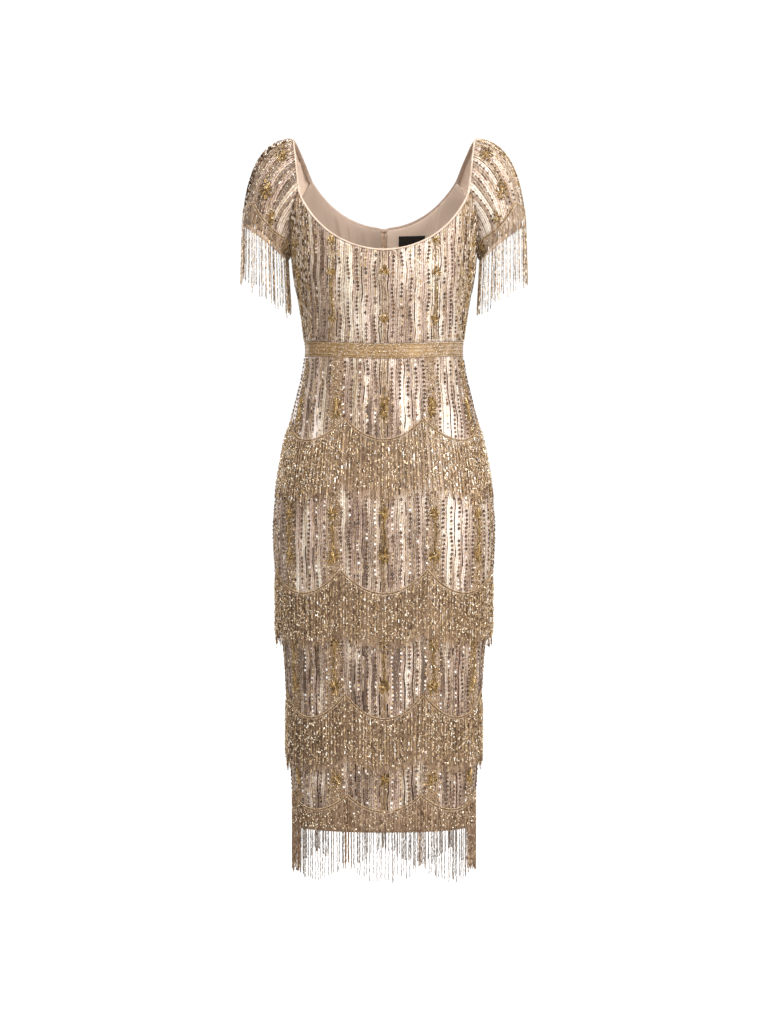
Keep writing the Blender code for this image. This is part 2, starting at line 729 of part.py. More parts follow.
def main():
    for thing in list(bpy.data.objects):
        bpy.data.objects.remove(thing, do_unlink=True)
    beaded = finish("beaded_cloth", (0.55, 0.42, 0.31), 0.45, 0.1)
    lining = finish("nude_lining", (0.56, 0.41, 0.31), 0.6)
    band = finish("waistband_beads", (0.45, 0.32, 0.14), 0.35, 0.6)
    binding = finish("neck_binding", (0.72, 0.56, 0.42), 0.5)
    cord = finish("bead_cord", (0.34, 0.25, 0.14), 0.35, 0.5)
    fringe = finish("bead_fringe", (0.42, 0.31, 0.18), 0.35, 0.4)
    tape = finish("zip_tape", (0.50, 0.37, 0.28), 0.7)
    metal = finish("zip_metal", (0.55, 0.45, 0.33), 0.35, 1.0)
    label = finish("label_cloth", (0.015, 0.015, 0.017), 0.6)

    front, back = add_bodice(beaded, lining)
    add_waistband(band)
    add_skirt(beaded)
    for number, tier in enumerate(TIERS, 1):
        add_tier(number, tier, cord, fringe)

    rim, top = sleeve_rim(front_bodice_grid(), back_bodice_grid())
    turns = cuff_turns(rim, top)
    sleeve = add_sleeve("left", lambda grid: grid, rim, turns, beaded, cord, fringe)
    add_sleeve("right", mirrored, rim, turns, beaded, cord, fringe)
    add_binding(front, back, sleeve, binding)

    bodice_rows = [height for height in back[:, -1, 2] if height < ZIP_TOP]
    skirt_rows = [height for height in SKIRT_HEIGHTS if height > ZIP_FOOT]
    add_zip_tapes(tape, [*reversed(skirt_rows), WAIST_MIDDLE - WAIST_HEIGHT / 2, *bodice_rows, ZIP_TOP])
    add_slider(metal)
    add_pull_tab(metal)
    add_label(label)


main()
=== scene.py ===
# %% [markdown]
# # A beaded sheath dress
#
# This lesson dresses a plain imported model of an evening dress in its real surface: satin net with upright
# columns of sequins and beads, a beaded waistband, and four tiers of bead fringe under scalloped cords.
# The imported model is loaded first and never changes. Every new piece is laid on the same form.

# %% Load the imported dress
import math
from collections import namedtuple

import bpy
import numpy as np
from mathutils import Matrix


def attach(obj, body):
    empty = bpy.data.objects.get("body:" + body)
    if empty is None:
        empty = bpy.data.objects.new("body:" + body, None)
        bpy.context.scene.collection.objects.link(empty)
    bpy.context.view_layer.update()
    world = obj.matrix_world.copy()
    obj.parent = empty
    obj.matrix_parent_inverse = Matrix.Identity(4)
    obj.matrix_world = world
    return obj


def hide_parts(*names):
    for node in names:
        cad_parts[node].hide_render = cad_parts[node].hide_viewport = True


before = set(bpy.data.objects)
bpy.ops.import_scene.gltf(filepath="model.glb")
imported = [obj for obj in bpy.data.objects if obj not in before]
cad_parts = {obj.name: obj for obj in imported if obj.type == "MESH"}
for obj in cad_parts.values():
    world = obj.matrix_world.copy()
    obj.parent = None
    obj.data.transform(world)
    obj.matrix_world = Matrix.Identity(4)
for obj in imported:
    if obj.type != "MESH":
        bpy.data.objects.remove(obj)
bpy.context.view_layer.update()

MM = 0.001

# %% [markdown]
# ## Camera, floor and light
#
# A dress is easiest to judge from straight in front, at the height of its middle. The floor and the sky are
# plain and pale. A big soft light to the right of the camera models the form, a weaker one fills the left,
# and two small bright ones give each bead its sparkle.

# %% Set up the camera and the sky
WHITE = (1.0, 1.0, 1.0, 1.0)
VIEW_HEIGHT = -577 * MM
VIEW_DISTANCE = 3.5
VIEW_TALL = 1.5872
SENSOR = 24
SKY_SEEN = 1.05
SKY_LIGHT = 0.5

scene = bpy.context.scene
scene.view_settings.view_transform = "Standard"
camera = bpy.data.objects.new("camera", bpy.data.cameras.new("camera"))
camera.location = (0, -VIEW_DISTANCE, VIEW_HEIGHT)
camera.rotation_euler = (math.pi / 2, 0, 0)
camera.data.sensor_fit = "VERTICAL"
camera.data.sensor_height = SENSOR
camera.data.lens = SENSOR * VIEW_DISTANCE / VIEW_TALL
scene.collection.objects.link(camera)
scene.camera = camera

world = bpy.data.worlds.new("pale_sky")
scene.world = world
world.use_nodes = True
sky_nodes, sky_links = world.node_tree.nodes, world.node_tree.links
sky_nodes["Background"].inputs["Color"].default_value = WHITE
rays = sky_nodes.new("ShaderNodeLightPath")
strength = sky_nodes.new("ShaderNodeMapRange")
strength.inputs["To Min"].default_value = SKY_LIGHT
strength.inputs["To Max"].default_value = SKY_SEEN
sky_links.new(rays.outputs["Is Camera Ray"], strength.inputs["Value"])
sky_links.new(strength.outputs["Result"], sky_nodes["Background"].inputs["Strength"])

# %% Hang the lights
Light = namedtuple("Light", "name place size power colour")
LIGHTS = (
    Light("key", (1.9, -2.3, 0.3), 1.1, 72, (1.0, 0.99, 0.975)),
    Light("fill", (-2.2, -2.6, -0.3), 1.6, 11, (1.0, 0.99, 0.98)),
    Light("neck_left", (-0.9, -1.2, 1.1), 0.7, 8, (1.0, 1.0, 1.0)),
    Light("top", (0.1, -0.6, 1.6), 1.0, 30, (1.0, 1.0, 1.0)),
    Light("sparkle_right", (0.9, -3.2, -0.2), 0.12, 9, (1.0, 1.0, 1.0)),
    Light("sparkle_left", (-0.7, -3.3, -0.9), 0.12, 5, (1.0, 1.0, 1.0)),
    Light("behind", (-1.4, 2.6, 0.4), 1.6, 60, (1.0, 0.98, 0.96)),
)
for light in LIGHTS:
    lamp = bpy.data.lights.new(light.name, "AREA")
    lamp.size, lamp.energy, lamp.color = light.size, light.power, light.colour
    thing = bpy.data.objects.new(light.name, lamp)
    thing.location = light.place
    x, y, z = np.array((0, 0, VIEW_HEIGHT)) - np.array(light.place)
    thing.rotation_euler = (math.atan2(math.hypot(x, y), -z), 0, math.atan2(y, x) - math.pi / 2)
    scene.collection.objects.link(thing)
print(len(LIGHTS), "lights and the camera are set")

# %% Lay the floor
FLOOR_HEIGHT = -1.75
FLOOR_HALF = 30.0
PAPER = (0.85, 0.84, 0.83, 1)
floor_mesh = bpy.data.meshes.new("floor")
corners = [(x * FLOOR_HALF, y * FLOOR_HALF, FLOOR_HEIGHT) for x, y in ((-1, -1), (1, -1), (1, 1), (-1, 1))]
floor_mesh.from_pydata(corners, [], [(0, 1, 2, 3)])
floor = bpy.data.objects.new("floor", floor_mesh)
scene.collection.objects.link(floor)
paper = bpy.data.materials.new("white_paper")
paper.use_nodes = True
nodes = paper.node_tree.nodes
shader = nodes["Principled BSDF"]
shader.inputs["Base Color"].default_value = PAPER
shader.inputs["Roughness"].default_value = 0.9
shader.inputs["Emission Color"].default_value = WHITE
seen = nodes.new("ShaderNodeLightPath").outputs["Is Camera Ray"]
paper.node_tree.links.new(seen, shader.inputs["Emission Strength"])
floor_mesh.materials.append(paper)
print("the floor lies at", FLOOR_HEIGHT, "m")

# %% [markdown]
# ## The dress's form
#
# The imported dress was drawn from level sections, so the same sections are repeated here. A place on the dress
# is said by two numbers: its height, and how far round it is (0 at the centre front, 0.5 at a side seam, 1 at
# the centre back). Working every place out again for each bead would be slow, so a fine table is filled once,
# and each bead reads its place and its outward direction from there.

# %% Repeat the form's sections
# Each row is a level section in mm: its height, its half width, and its depths in front and behind
SECTIONS = (
    *((-20, 148, 84, 88), (-56, 150, 90, 94), (-85, 151, 97, 98), (-110, 154, 106, 101)),
    *((-134, 152, 112, 102), (-158, 147, 115, 102), (-178, 143, 118, 102), (-205, 140, 119, 101)),
    *((-225, 137, 117, 100), (-250, 131.5, 111, 97), (-274, 127.5, 104, 93), (-300, 124, 97, 90)),
    *((-327, 121, 93, 88), (-357, 124.5, 97, 93), (-411, 137, 105, 104), (-465, 151, 112, 115)),
    *((-520, 161.5, 116, 122), (-592, 170, 118, 125), (-654, 168.5, 116, 122), (-700, 164, 114, 118)),
    *((-787, 155, 108, 111), (-880, 149, 104, 106), (-972, 143.3, 101, 102), (-1060, 137.6, 99, 100)),
)
SECTION_TABLE = (np.array(SECTIONS) * MM)[::-1]
ROUNDNESS = 2.25
QUARTER_STEPS = 48
BUST_FULLNESS = 0.06
BUST_AROUND = 0.23
BUST_SPREAD = 0.13
BUST_HEIGHT = -222 * MM
BUST_TALL = 42 * MM
TURN = np.linspace(0, math.pi / 2, QUARTER_STEPS)
ACROSS = np.sin(TURN) ** (2 / ROUNDNESS)
DEEP = np.abs(np.cos(TURN)) ** (2 / ROUNDNESS)
print(len(SECTIONS), "sections from", SECTION_TABLE[-1, 0], "down to", SECTION_TABLE[0, 0], "m")

# %% Helpers for smooth sections


def smooth_between(t, step, first, last, first_slope, last_slope):
    """A smooth curve from one value to the next, with its slope at each. t runs from 0 to 1 over the step."""
    start = (1 + 2 * t) * (1 - t) ** 2 * first + t * (1 - t) ** 2 * step * first_slope
    return start + t**2 * (3 - 2 * t) * last + t**2 * (t - 1) * step * last_slope


def through(values, places, at):
    """A smooth curve through rows of values that stand at rising places."""
    slopes = np.gradient(values, places, axis=0)
    low = np.clip(np.searchsorted(places, at) - 1, 0, len(places) - 2)
    step = (places[low + 1] - places[low])[:, None]
    t = ((at - places[low]) / step[:, 0])[:, None]
    return smooth_between(t, step, values[low], values[low + 1], slopes[low], slopes[low + 1])


def section_at(height):
    """Half width, front depth and back depth at a height."""
    return through(SECTION_TABLE[:, 1:], SECTION_TABLE[:, 0], np.array([height]))[0]


def runs(side, deep):
    """The length of a quarter section up to each of its points, one row for each depth."""
    steps = np.hypot(np.diff(side), np.diff(deep, axis=-1))
    return np.concatenate([np.zeros((*steps.shape[:-1], 1)), np.cumsum(steps, axis=-1)], axis=-1)


def level(height, arounds):
    """Points of one level section at these places, and its quarter lengths in front and behind."""
    half_width, front, back = section_at(height)
    in_front = np.abs(arounds) <= 0.5
    across = np.exp(-(((np.abs(arounds) - BUST_AROUND) / BUST_SPREAD) ** 2))
    full = 1 + BUST_FULLNESS * across * math.exp(-(((height - BUST_HEIGHT) / BUST_TALL) ** 2))
    side, deep = half_width * ACROSS, np.where(in_front, front * full, back)[:, None] * DEEP
    run = runs(side, deep)
    run /= run[:, -1:]
    share = np.where(in_front, 2 * np.abs(arounds), 2 * (1 - np.abs(arounds)))
    at = np.clip((run < share[:, None]).sum(1) - 1, 0, QUARTER_STEPS - 2)
    rows = np.arange(len(arounds))
    t = (share - run[rows, at]) / (run[rows, at + 1] - run[rows, at])
    x = np.copysign((1 - t) * side[at] + t * side[at + 1], arounds)
    y = (1 - t) * deep[rows, at] + t * deep[rows, at + 1]
    lengths = [runs(side, size * DEEP[None])[0, -1] for size in (front, back)]
    return np.stack([x, np.where(in_front, -y, y), np.full(len(x), height)], 1), lengths


def unit(vectors):
    return vectors / np.maximum(np.linalg.norm(vectors, axis=-1, keepdims=True), 1e-12)


# %% Fill the table of the form
TABLE_STEP = 1 * MM
TABLE_LOWEST = -1142 * MM
TABLE_ROWS = 1143
TABLE_COLUMNS = 801
arounds = np.linspace(-1, 1, TABLE_COLUMNS)
levels = [level(TABLE_LOWEST + row * TABLE_STEP, arounds) for row in range(TABLE_ROWS)]
FORM = np.array([points for points, _ in levels])
QUARTERS = np.array([lengths for _, lengths in levels])
FORM_OUT = unit(np.cross(np.gradient(FORM, axis=1), np.gradient(FORM, axis=0)))


def between_entries(table, column, row):
    """The table's value at any columns and rows, between its four nearest entries."""
    c = np.clip(column.astype(int), 0, table.shape[1] - 2)
    r = np.clip(row.astype(int), 0, table.shape[0] - 2)
    tc, tr = (column - c)[..., None], (row - r)[..., None]
    below = table[r, c] * (1 - tc) + table[r, c + 1] * tc
    above = table[r + 1, c] * (1 - tc) + table[r + 1, c + 1] * tc
    return below * (1 - tr) + above * tr


def read_form(table, around, height):
    around, height = np.broadcast_arrays(np.asarray(around, float), np.asarray(height, float))
    column = ((around + 1) % 2) / 2 * (TABLE_COLUMNS - 1)
    column = np.where(around >= 1, TABLE_COLUMNS - 1, column)
    row = np.clip((height - TABLE_LOWEST) / TABLE_STEP, 0, TABLE_ROWS - 1.001)
    return between_entries(table, column, row)


def out_of(around, height):
    return unit(read_form(FORM_OUT, around, height))


def on_dress(around, height, lift=0.0):
    """Points on the form, lifted this far off it."""
    return read_form(FORM, around, height) + out_of(around, height) * np.asarray(lift, float)[..., None]


def quarter_length(height, in_front):
    row = (np.asarray(height, float) - TABLE_LOWEST) / TABLE_STEP
    return np.interp(row, np.arange(TABLE_ROWS), QUARTERS[:, 0 if in_front else 1])


def around_at(side, height, in_front):
    """The place round the dress at which its section reaches this far to the left."""
    half_width, front, back = section_at(height)
    run = runs(half_width * ACROSS, ((front if in_front else back) * DEEP)[None])[0]
    share = float(np.interp(side, half_width * ACROSS, run / run[-1]))
    return share / 2 if in_front else 1 - share / 2


print("form table:", FORM.shape, "waist", round(4 * float(quarter_length(-0.326, True)), 3), "m if round")

# %% [markdown]
# ## Edges: neck, armholes, waist and scallops
#
# The cloth ends at the neck's scoop, at the armholes and at the waist seam, and the cords hang in scallops:
# low in the middle of each and sharp where two meet.

# %% Repeat the edges
Scoop = namedtuple("Scoop", "lowest half_width rise")
FRONT_NECK = Scoop(-184 * MM, 140.5 * MM, 153 * MM)
BACK_NECK = Scoop(-125.5 * MM, 149 * MM, 190 * MM)
NECK_TRIES = 12
Armhole = namedtuple("Armhole", "height side")
UNDERARM = -178 * MM
FRONT_ARMHOLE = (Armhole(-158, 143.5), Armhole(-134, 143), Armhole(-110, 139), Armhole(-85, 130))
BACK_ARMHOLE = (Armhole(-158, 143.5), Armhole(-134, 142.5), Armhole(-110, 138), Armhole(-83, 129))
BACK_ARMHOLE += (Armhole(-55, 115),)
WAIST_MIDDLE = -326 * MM
WAIST_DIP = 8 * MM
WAIST_HEIGHT = 22.5 * MM
HEM = -1060 * MM
SCALLOPS = 7
Tier = namedtuple("Tier", "cusp low end_cusp end_low")
TIERS = (
    Tier(-437 * MM, -469 * MM, -544 * MM, -560 * MM),
    Tier(-665 * MM, -700 * MM, -770 * MM, -785 * MM),
    Tier(-852 * MM, -889 * MM, -955 * MM, -975 * MM),
    Tier(-1004 * MM, -1029 * MM, -1107 * MM, -1134 * MM),
)


def waist_height(around):
    around = np.asarray(around, float)
    return WAIST_MIDDLE - np.where(np.abs(around) < 0.5, WAIST_DIP * np.cos(math.pi * around) ** 2, 0)


def scallop_height(around, cusp, low, count=SCALLOPS):
    across = np.asarray(around, float) * count / 2
    return low + (cusp - low) * (2 * (across - np.round(across))) ** 2


def cord_height(around, tier):
    return scallop_height(around, tier.cusp, tier.low)


def end_height(around, tier):
    return scallop_height(around, tier.end_cusp, tier.end_low)


def neck_height(side, scoop):
    return scoop.lowest + scoop.rise * (1 - np.sqrt(np.maximum(1 - (side / scoop.half_width) ** 2, 0)))


for tier in TIERS:
    print(f"a cord between {tier.cusp:.3f} and {tier.low:.3f} m, with a fringe down to {tier.end_low:.3f} m")

# %% [markdown]
# ## Columns
#
# The beads are sewn in upright columns at one spacing, so they run off the panels at the side seams as
# stripes do. A column is numbered from the centre line, and each panel says between which heights it lives.
# On the skirt the columns draw together a little towards the waist and the hem. Sewn by hand on soft cloth,
# no column is quite straight, so each one wanders a little, and its neighbours wander with it.

# %% Number the columns of a panel
PITCH = 6.67 * MM
SKIRT_SHARE = 0.975
SKIRT_LENGTH = 239 * MM
SKIRT_POWER = 0.3


def pitch_at(height, in_front, skirt):
    if not skirt:
        return np.full(np.shape(height), PITCH)
    return PITCH * SKIRT_SHARE * (quarter_length(height, in_front) / SKIRT_LENGTH) ** SKIRT_POWER


def column_around(column, height, in_front, skirt, side=1):
    """Where a column passes at a height. Behind, side is 1 for the wearer's left half, -1 for the right."""
    share = column * pitch_at(height, in_front, skirt) / quarter_length(height, in_front)
    return share / 2 if in_front else side * (1 - share / 2)


# %% Work out the panels
Panel = namedtuple("Panel", "name in_front skirt side last bottom top")
EDGE_STEP = 2 * MM
EDGE_ROOM = 0.15 * MM
WAIST_HALF = WAIST_HEIGHT / 2


def make_panel(name, in_front, skirt, side):
    """A panel: its last column and, as functions of the column, its lowest and highest heights."""
    if skirt:
        heights = np.arange(HEM, WAIST_MIDDLE - WAIST_HALF, EDGE_STEP)
        edge = quarter_length(heights, in_front) / pitch_at(heights, in_front, True)
    else:
        armhole, scoop = (FRONT_ARMHOLE, FRONT_NECK) if in_front else (BACK_ARMHOLE, BACK_NECK)
        below = np.arange(WAIST_MIDDLE + WAIST_HALF - WAIST_DIP, UNDERARM, EDGE_STEP)
        shares = [around_at(row.side * MM, row.height * MM, in_front) for row in armhole]
        shares = [share if in_front else 1 - share for share in shares]
        heights = np.concatenate([below, np.array([row.height * MM for row in armhole])])
        reach = np.concatenate([np.ones(len(below)), 2 * np.array(shares)])
        edge = quarter_length(heights, in_front) * reach / PITCH
    peak = int(np.argmax(edge))

    def bottom(column):
        column = np.abs(np.asarray(column, float))
        low = np.interp(column, edge[: peak + 1], heights[: peak + 1])
        if skirt:
            return low
        at = column_around(column, WAIST_MIDDLE, in_front, False)
        return np.maximum(low, waist_height(at) + WAIST_HALF + EDGE_ROOM)

    def top(column):
        column = np.abs(np.asarray(column, float))
        high = np.interp(column, edge[peak:][::-1], heights[peak:][::-1])
        if skirt:
            at = column_around(column, WAIST_MIDDLE, in_front, True)
            return np.minimum(high, waist_height(at) - WAIST_HALF - EDGE_ROOM)
        neck = np.full(column.shape, scoop.lowest)
        for _ in range(NECK_TRIES):
            x = np.abs(on_dress(column_around(column, neck, in_front, False), neck)[..., 0])
            neck = neck_height(x, scoop)
        return np.minimum(high, neck)

    return Panel(name, in_front, skirt, side, edge[peak] - 0.02, bottom, top)


PANELS = [
    make_panel(f"{part}_{place}", in_front, part == "skirt", side)
    for part in ("bodice", "skirt")
    for place, in_front, side in (("front", True, 1), ("back_left", False, 1), ("back_right", False, -1))
]
for panel in PANELS:
    print(panel.name, "columns to", round(panel.last, 1))

# %% Let the columns wander
WANDER = 0.13
WANDER_LONG = 71 * MM
WANDER_SHORT = 37 * MM


def panel_around(panel, column, height):
    """Where a column passes round the dress, straying a little, except at the edges of its panel."""
    column = np.asarray(column, float)
    fade = np.clip((panel.last - np.abs(column)) / 2, 0, 1)
    if not panel.in_front:
        fade = fade * np.clip(np.abs(column) / 2, 0, 1)
    turn = 2 * math.pi * np.asarray(height)
    swing = np.sin(turn / WANDER_LONG + 0.45 * column) + 0.6 * np.sin(turn / WANDER_SHORT + 1.3 * column)
    return column_around(column + WANDER * fade * swing, height, panel.in_front, panel.skirt, panel.side)


def on_panel(panel, column, height, lift=0.0):
    """Points on a panel and the directions that face out of it there."""
    around = panel_around(panel, column, height)
    return on_dress(around, height, lift), out_of(around, height)


# %% [markdown]
# ## Finishes
#
# A finish is a small tree of shader nodes. Beads read two numbers that are stored on the mesh: `tone`, which
# picks a colour along a ramp from dark bronze to silver, and `shade`, which makes one bead a little lighter
# or darker than the next. Those two numbers are also the mesh's UV map, so a bake finds every colour.

# %% Helpers for finishes


def srgb(red, green, blue):
    """A colour as a designer names it, from 0 to 255, made linear for a shader."""
    values = np.array((red, green, blue)) / 255
    linear = np.where(values <= 0.04045, values / 12.92, ((values + 0.055) / 1.055) ** 2.4)
    return (*map(float, linear), 1.0)


class Finish:
    """A material that is built node by node. Its settings are constants on the shader's sockets."""

    def __init__(self, name, **sockets):
        print("finish", name)
        self.material = bpy.data.materials.new(name)
        self.material.use_nodes = True
        self.nodes, self.links = self.material.node_tree.nodes, self.material.node_tree.links
        self.shader = self.nodes["Principled BSDF"]
        for socket, value in sockets.items():
            self.shader.inputs[socket.replace("_", " ")].default_value = value

    def put(self, value, socket):
        """Joins another node's output to a socket, or sets the socket to a constant."""
        if isinstance(value, bpy.types.NodeSocket):
            self.links.new(value, socket)
        else:
            socket.default_value = value

    def add(self, kind, inputs=None, **settings):
        node = self.nodes.new("ShaderNode" + kind)
        for key, value in settings.items():
            setattr(node, key, value)
        for socket, value in (inputs or {}).items():
            self.put(value, node.inputs[socket])
        return node

    def math(self, operation, first, second=0.0, third=0.0):
        return self.add("Math", {0: first, 1: second, 2: third}, operation=operation).outputs[0]

    def plus(self, first, second):
        return self.math("ADD", first, second)

    def minus(self, first, second):
        return self.math("SUBTRACT", first, second)

    def times(self, first, second, plus=None):
        if plus is None:
            return self.math("MULTIPLY", first, second)
        return self.math("MULTIPLY_ADD", first, second, plus)

    def attribute(self, name):
        return self.add("Attribute", attribute_name=name).outputs["Fac"]

    def place(self):
        return self.add("TexCoord").outputs["Object"]

    def noise(self, place, scale, detail):
        return self.add("TexNoise", {"Vector": place, "Scale": scale, "Detail": detail}).outputs["Fac"]

    def weave(self, place, scale, distortion, direction):
        wave = {"Vector": place, "Scale": scale, "Distortion": distortion}
        return self.add("TexWave", wave, bands_direction=direction).outputs["Fac"]

    def ramp(self, value, stops):
        node = self.add("ValToRGB", {"Fac": value})
        elements = node.color_ramp.elements
        while len(elements) > 1:
            elements.remove(elements[-1])
        elements[0].position, elements[0].color = stops[0]
        for position, colour in stops[1:]:
            elements.new(position).color = colour
        return node.outputs["Color"]

    def mix(self, factor, first, second, blend="MIX"):
        node = self.add("Mix", data_type="RGBA", blend_type=blend, clamp_factor=True)
        for socket, value in zip((0, 6, 7), (factor, first, second)):
            self.put(value, node.inputs[socket])
        return node.outputs[2]

    def paint(self, colour):
        self.links.new(colour, self.shader.inputs["Base Color"])

    def bump(self, height, strength, distance):
        node = self.add("Bump", {"Height": height, "Strength": strength, "Distance": distance})
        self.links.new(node.outputs["Normal"], self.shader.inputs["Normal"])


# %% Finishes of beads
DARK_BRONZE = srgb(58, 36, 22)
BRONZE = srgb(130, 97, 67)
OLD_GOLD = srgb(178, 149, 98)
CHAMPAGNE = srgb(216, 186, 150)
CREAM = srgb(238, 222, 204)
SILVER = srgb(250, 243, 234)
SHADES = [(0.0, (0.66, 0.64, 0.63, 1)), (0.5, (0.88, 0.87, 0.86, 1)), (1.0, WHITE)]


def bead_finish(name, stops, metal, rough, coat, coat_rough, specular=0.5):
    """Glass or metal beads: colours along the tone, each made darker by its bead's shade."""
    sheen = {"Specular_IOR_Level": specular, "Coat_Weight": coat, "Coat_Roughness": coat_rough}
    finish = Finish(name, Metallic=metal, Roughness=rough, **sheen)
    colour = finish.ramp(finish.attribute("tone"), stops)
    finish.paint(finish.mix(1.0, colour, finish.ramp(finish.attribute("shade"), SHADES), "MULTIPLY"))
    return finish.material


STOPS = [(0.0, DARK_BRONZE), (0.25, BRONZE), (0.5, OLD_GOLD), (0.7, CHAMPAGNE), (0.85, CREAM), (1.0, SILVER)]
SEWN_BEADS = bead_finish("sewn_beads", STOPS, 0.25, 0.42, 0.05, 0.2, 0.2)
STOPS = [(0.0, srgb(108, 82, 60)), (0.3, srgb(166, 136, 102)), (0.6, srgb(204, 174, 128))]
STOPS += [(0.8, CHAMPAGNE), (0.92, CREAM), (1.0, SILVER)]
FRINGE_BEADS = bead_finish("fringe_beads", STOPS, 0.25, 0.4, 0.2, 0.15)
# Greys up to a tone of 0.5 for the free ends of the hem, and browns above it for the rest
STOPS = [(0.0, srgb(122, 109, 99)), (0.25, srgb(170, 159, 149)), (0.5, srgb(208, 198, 189))]
STOPS += [(0.55, srgb(96, 70, 52)), (0.75, srgb(146, 116, 88)), (1.0, srgb(208, 182, 150))]
HEM_BEADS = bead_finish("hem_beads", STOPS, 0.05, 0.5, 0.1, 0.2, 0.3)
STOPS = [(0.0, srgb(82, 60, 38)), (0.4, srgb(138, 108, 62)), (0.65, srgb(184, 150, 92))]
STOPS += [(1.0, srgb(250, 232, 196))]
GOLD_BEADS = bead_finish("gold_beads", STOPS, 0.45, 0.38, 0.15, 0.2)
# Crystals drawn up to near white: partly their own clear glass, partly painted glint that sparkles under any
# light
STOPS = [(0.0, OLD_GOLD), (0.6, CHAMPAGNE), (0.85, srgb(248, 230, 198)), (1.0, srgb(255, 245, 224))]
CRYSTALS_PAINTED_GLINT = bead_finish("crystals", STOPS, 0.15, 0.2, 0.6, 0.05)

# %% [markdown]
# ## Beads
#
# Thousands of beads would be slow as separate objects, so each batch is one mesh. A bead's shape is described
# once, about its own middle, and numpy copies it to every place, turned to lie along its thread and to face
# outwards. The facets stay flat, because flat facets are what make cut glass glitter.

# %% Shapes of beads
Shape = namedtuple("Shape", "points faces")


def ring(sides, radius, along):
    turns = 2 * math.pi * np.arange(sides) / sides
    return [(radius * math.cos(t), along, radius * math.sin(t)) for t in turns]


def bugle(sides):
    """A short faceted tube along Y, one unit long and one across."""
    faces = []
    for i in range(sides):
        j = (i + 1) % sides
        faces += [(i, sides + i, sides + j), (i, sides + j, j)]
    faces += [(0, i, i + 1) for i in range(1, sides - 1)]
    faces += [(sides, sides + i + 1, sides + i) for i in range(1, sides - 1)]
    return Shape(np.array(ring(sides, 0.5, -0.5) + ring(sides, 0.5, 0.5)), np.array(faces))


def seed_bead():
    """A small bead with eight facets."""
    points = [(0.5, 0, 0), (-0.5, 0, 0), (0, 0.5, 0), (0, -0.5, 0), (0, 0, 0.5), (0, 0, -0.5)]
    faces = [(0, 2, 4), (2, 1, 4), (1, 3, 4), (3, 0, 4), (2, 0, 5), (1, 2, 5), (3, 1, 5), (0, 3, 5)]
    return Shape(np.array(points), np.array(faces))


def chip():
    """The smallest bead: two three-sided points, base to base."""
    faces = [(0, 2 + (i + 1) % 3, 2 + i) for i in range(3)] + [(1, 2 + i, 2 + (i + 1) % 3) for i in range(3)]
    return Shape(np.array([(0, 0.5, 0), (0, -0.5, 0)] + ring(3, 0.5, 0.0)), np.array(faces))


def cup_sequin(sides):
    """A small dished disc facing Z, closed, with its rim standing up."""
    points = [(x, z, 0.32) for x, _, z in ring(sides, 0.5, 0.0)] + [(0, 0, 0.14), (0, 0, 0.0)]
    faces = [(sides, i, (i + 1) % sides) for i in range(sides)]
    return Shape(np.array(points), np.array(faces + [(sides + 1, (i + 1) % sides, i) for i in range(sides)]))


SLIM_BUGLE, THREAD_BUGLE, SEED, CHIP, SEQUIN = shapes = bugle(4), bugle(3), seed_bead(), chip(), cup_sequin(8)
for name, shape in zip(("bugle", "thread bugle", "seed", "chip", "sequin"), shapes):
    # The volume is positive when the faces point out
    a, b, c = np.moveaxis(shape.points[shape.faces], 1, 0)
    print(name, len(shape.faces), "faces, volume", round(float((a * np.cross(b, c)).sum() / 6), 3))

# %% Copy a shape to many places
Batch = namedtuple("Batch", "points faces tone shade")


def sprinkle(shape, places, along, out, sizes, tone, shade, spin=0.0):
    """Copies of a shape: each at its place, with its length along one direction and its face along another.

    sizes are the beads' width, length and height. Every number may be one for all or one for each bead."""
    count, corners = len(places), len(shape.points)

    def each(value):
        return np.broadcast_to(np.asarray(value, float), count)

    out = unit(np.broadcast_to(out, (count, 3)))
    along = np.broadcast_to(along, (count, 3))
    along = unit(along - out * (along * out).sum(1, keepdims=True))
    across = np.cross(along, out)
    spin = each(spin)[:, None]
    side = across * np.cos(spin) + out * np.sin(spin)
    face = out * np.cos(spin) - across * np.sin(spin)
    points = places[:, None]
    for axis, (direction, size) in enumerate(zip((side, along, face), sizes)):
        points = points + direction[:, None] * shape.points[None, :, axis, None] * each(size)[:, None, None]
    faces = shape.faces[None] + (np.arange(count) * corners)[:, None, None]
    tone, shade = np.repeat(each(tone), corners), np.repeat(each(shade), corners)
    return Batch(points.reshape(-1, 3), faces.reshape(-1, 3), tone, shade)


# %% Make a piece of the dress
UV_CORNERS = np.array(((-1, -1), (1, -1), (0, 1))) * 0.004
Sheet = namedtuple("Sheet", "thing area width length trims")
sheets = {}
triangles = []


def mesh_object(name, points, faces, material, smooth=False):
    """A new object from triangles or quads."""
    mesh = bpy.data.meshes.new(name)
    size = faces.shape[1]
    mesh.vertices.add(len(points))
    mesh.vertices.foreach_set("co", np.ascontiguousarray(points, np.float32).ravel())
    mesh.loops.add(faces.size)
    mesh.loops.foreach_set("vertex_index", np.ascontiguousarray(faces, np.int32).ravel())
    mesh.polygons.add(len(faces))
    mesh.polygons.foreach_set("loop_start", np.arange(0, faces.size, size, dtype=np.int32))
    mesh.materials.append(material)
    mesh.update(calc_edges=True)
    mesh.validate()
    mesh.shade_smooth() if smooth else mesh.shade_flat()
    thing = bpy.data.objects.new(name, mesh)
    scene.collection.objects.link(thing)
    triangles.append(len(faces) * (size - 2))
    return thing


def store(mesh, name, values):
    attribute = mesh.attributes.new(name, "FLOAT", "POINT")
    attribute.data.foreach_set("value", np.ascontiguousarray(values, np.float32))


def worn(thing, node=None):
    """The piece rides on the dress and, where a node is named, stands in for that plain solid."""
    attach(thing, "dress")
    if node:
        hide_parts(node)


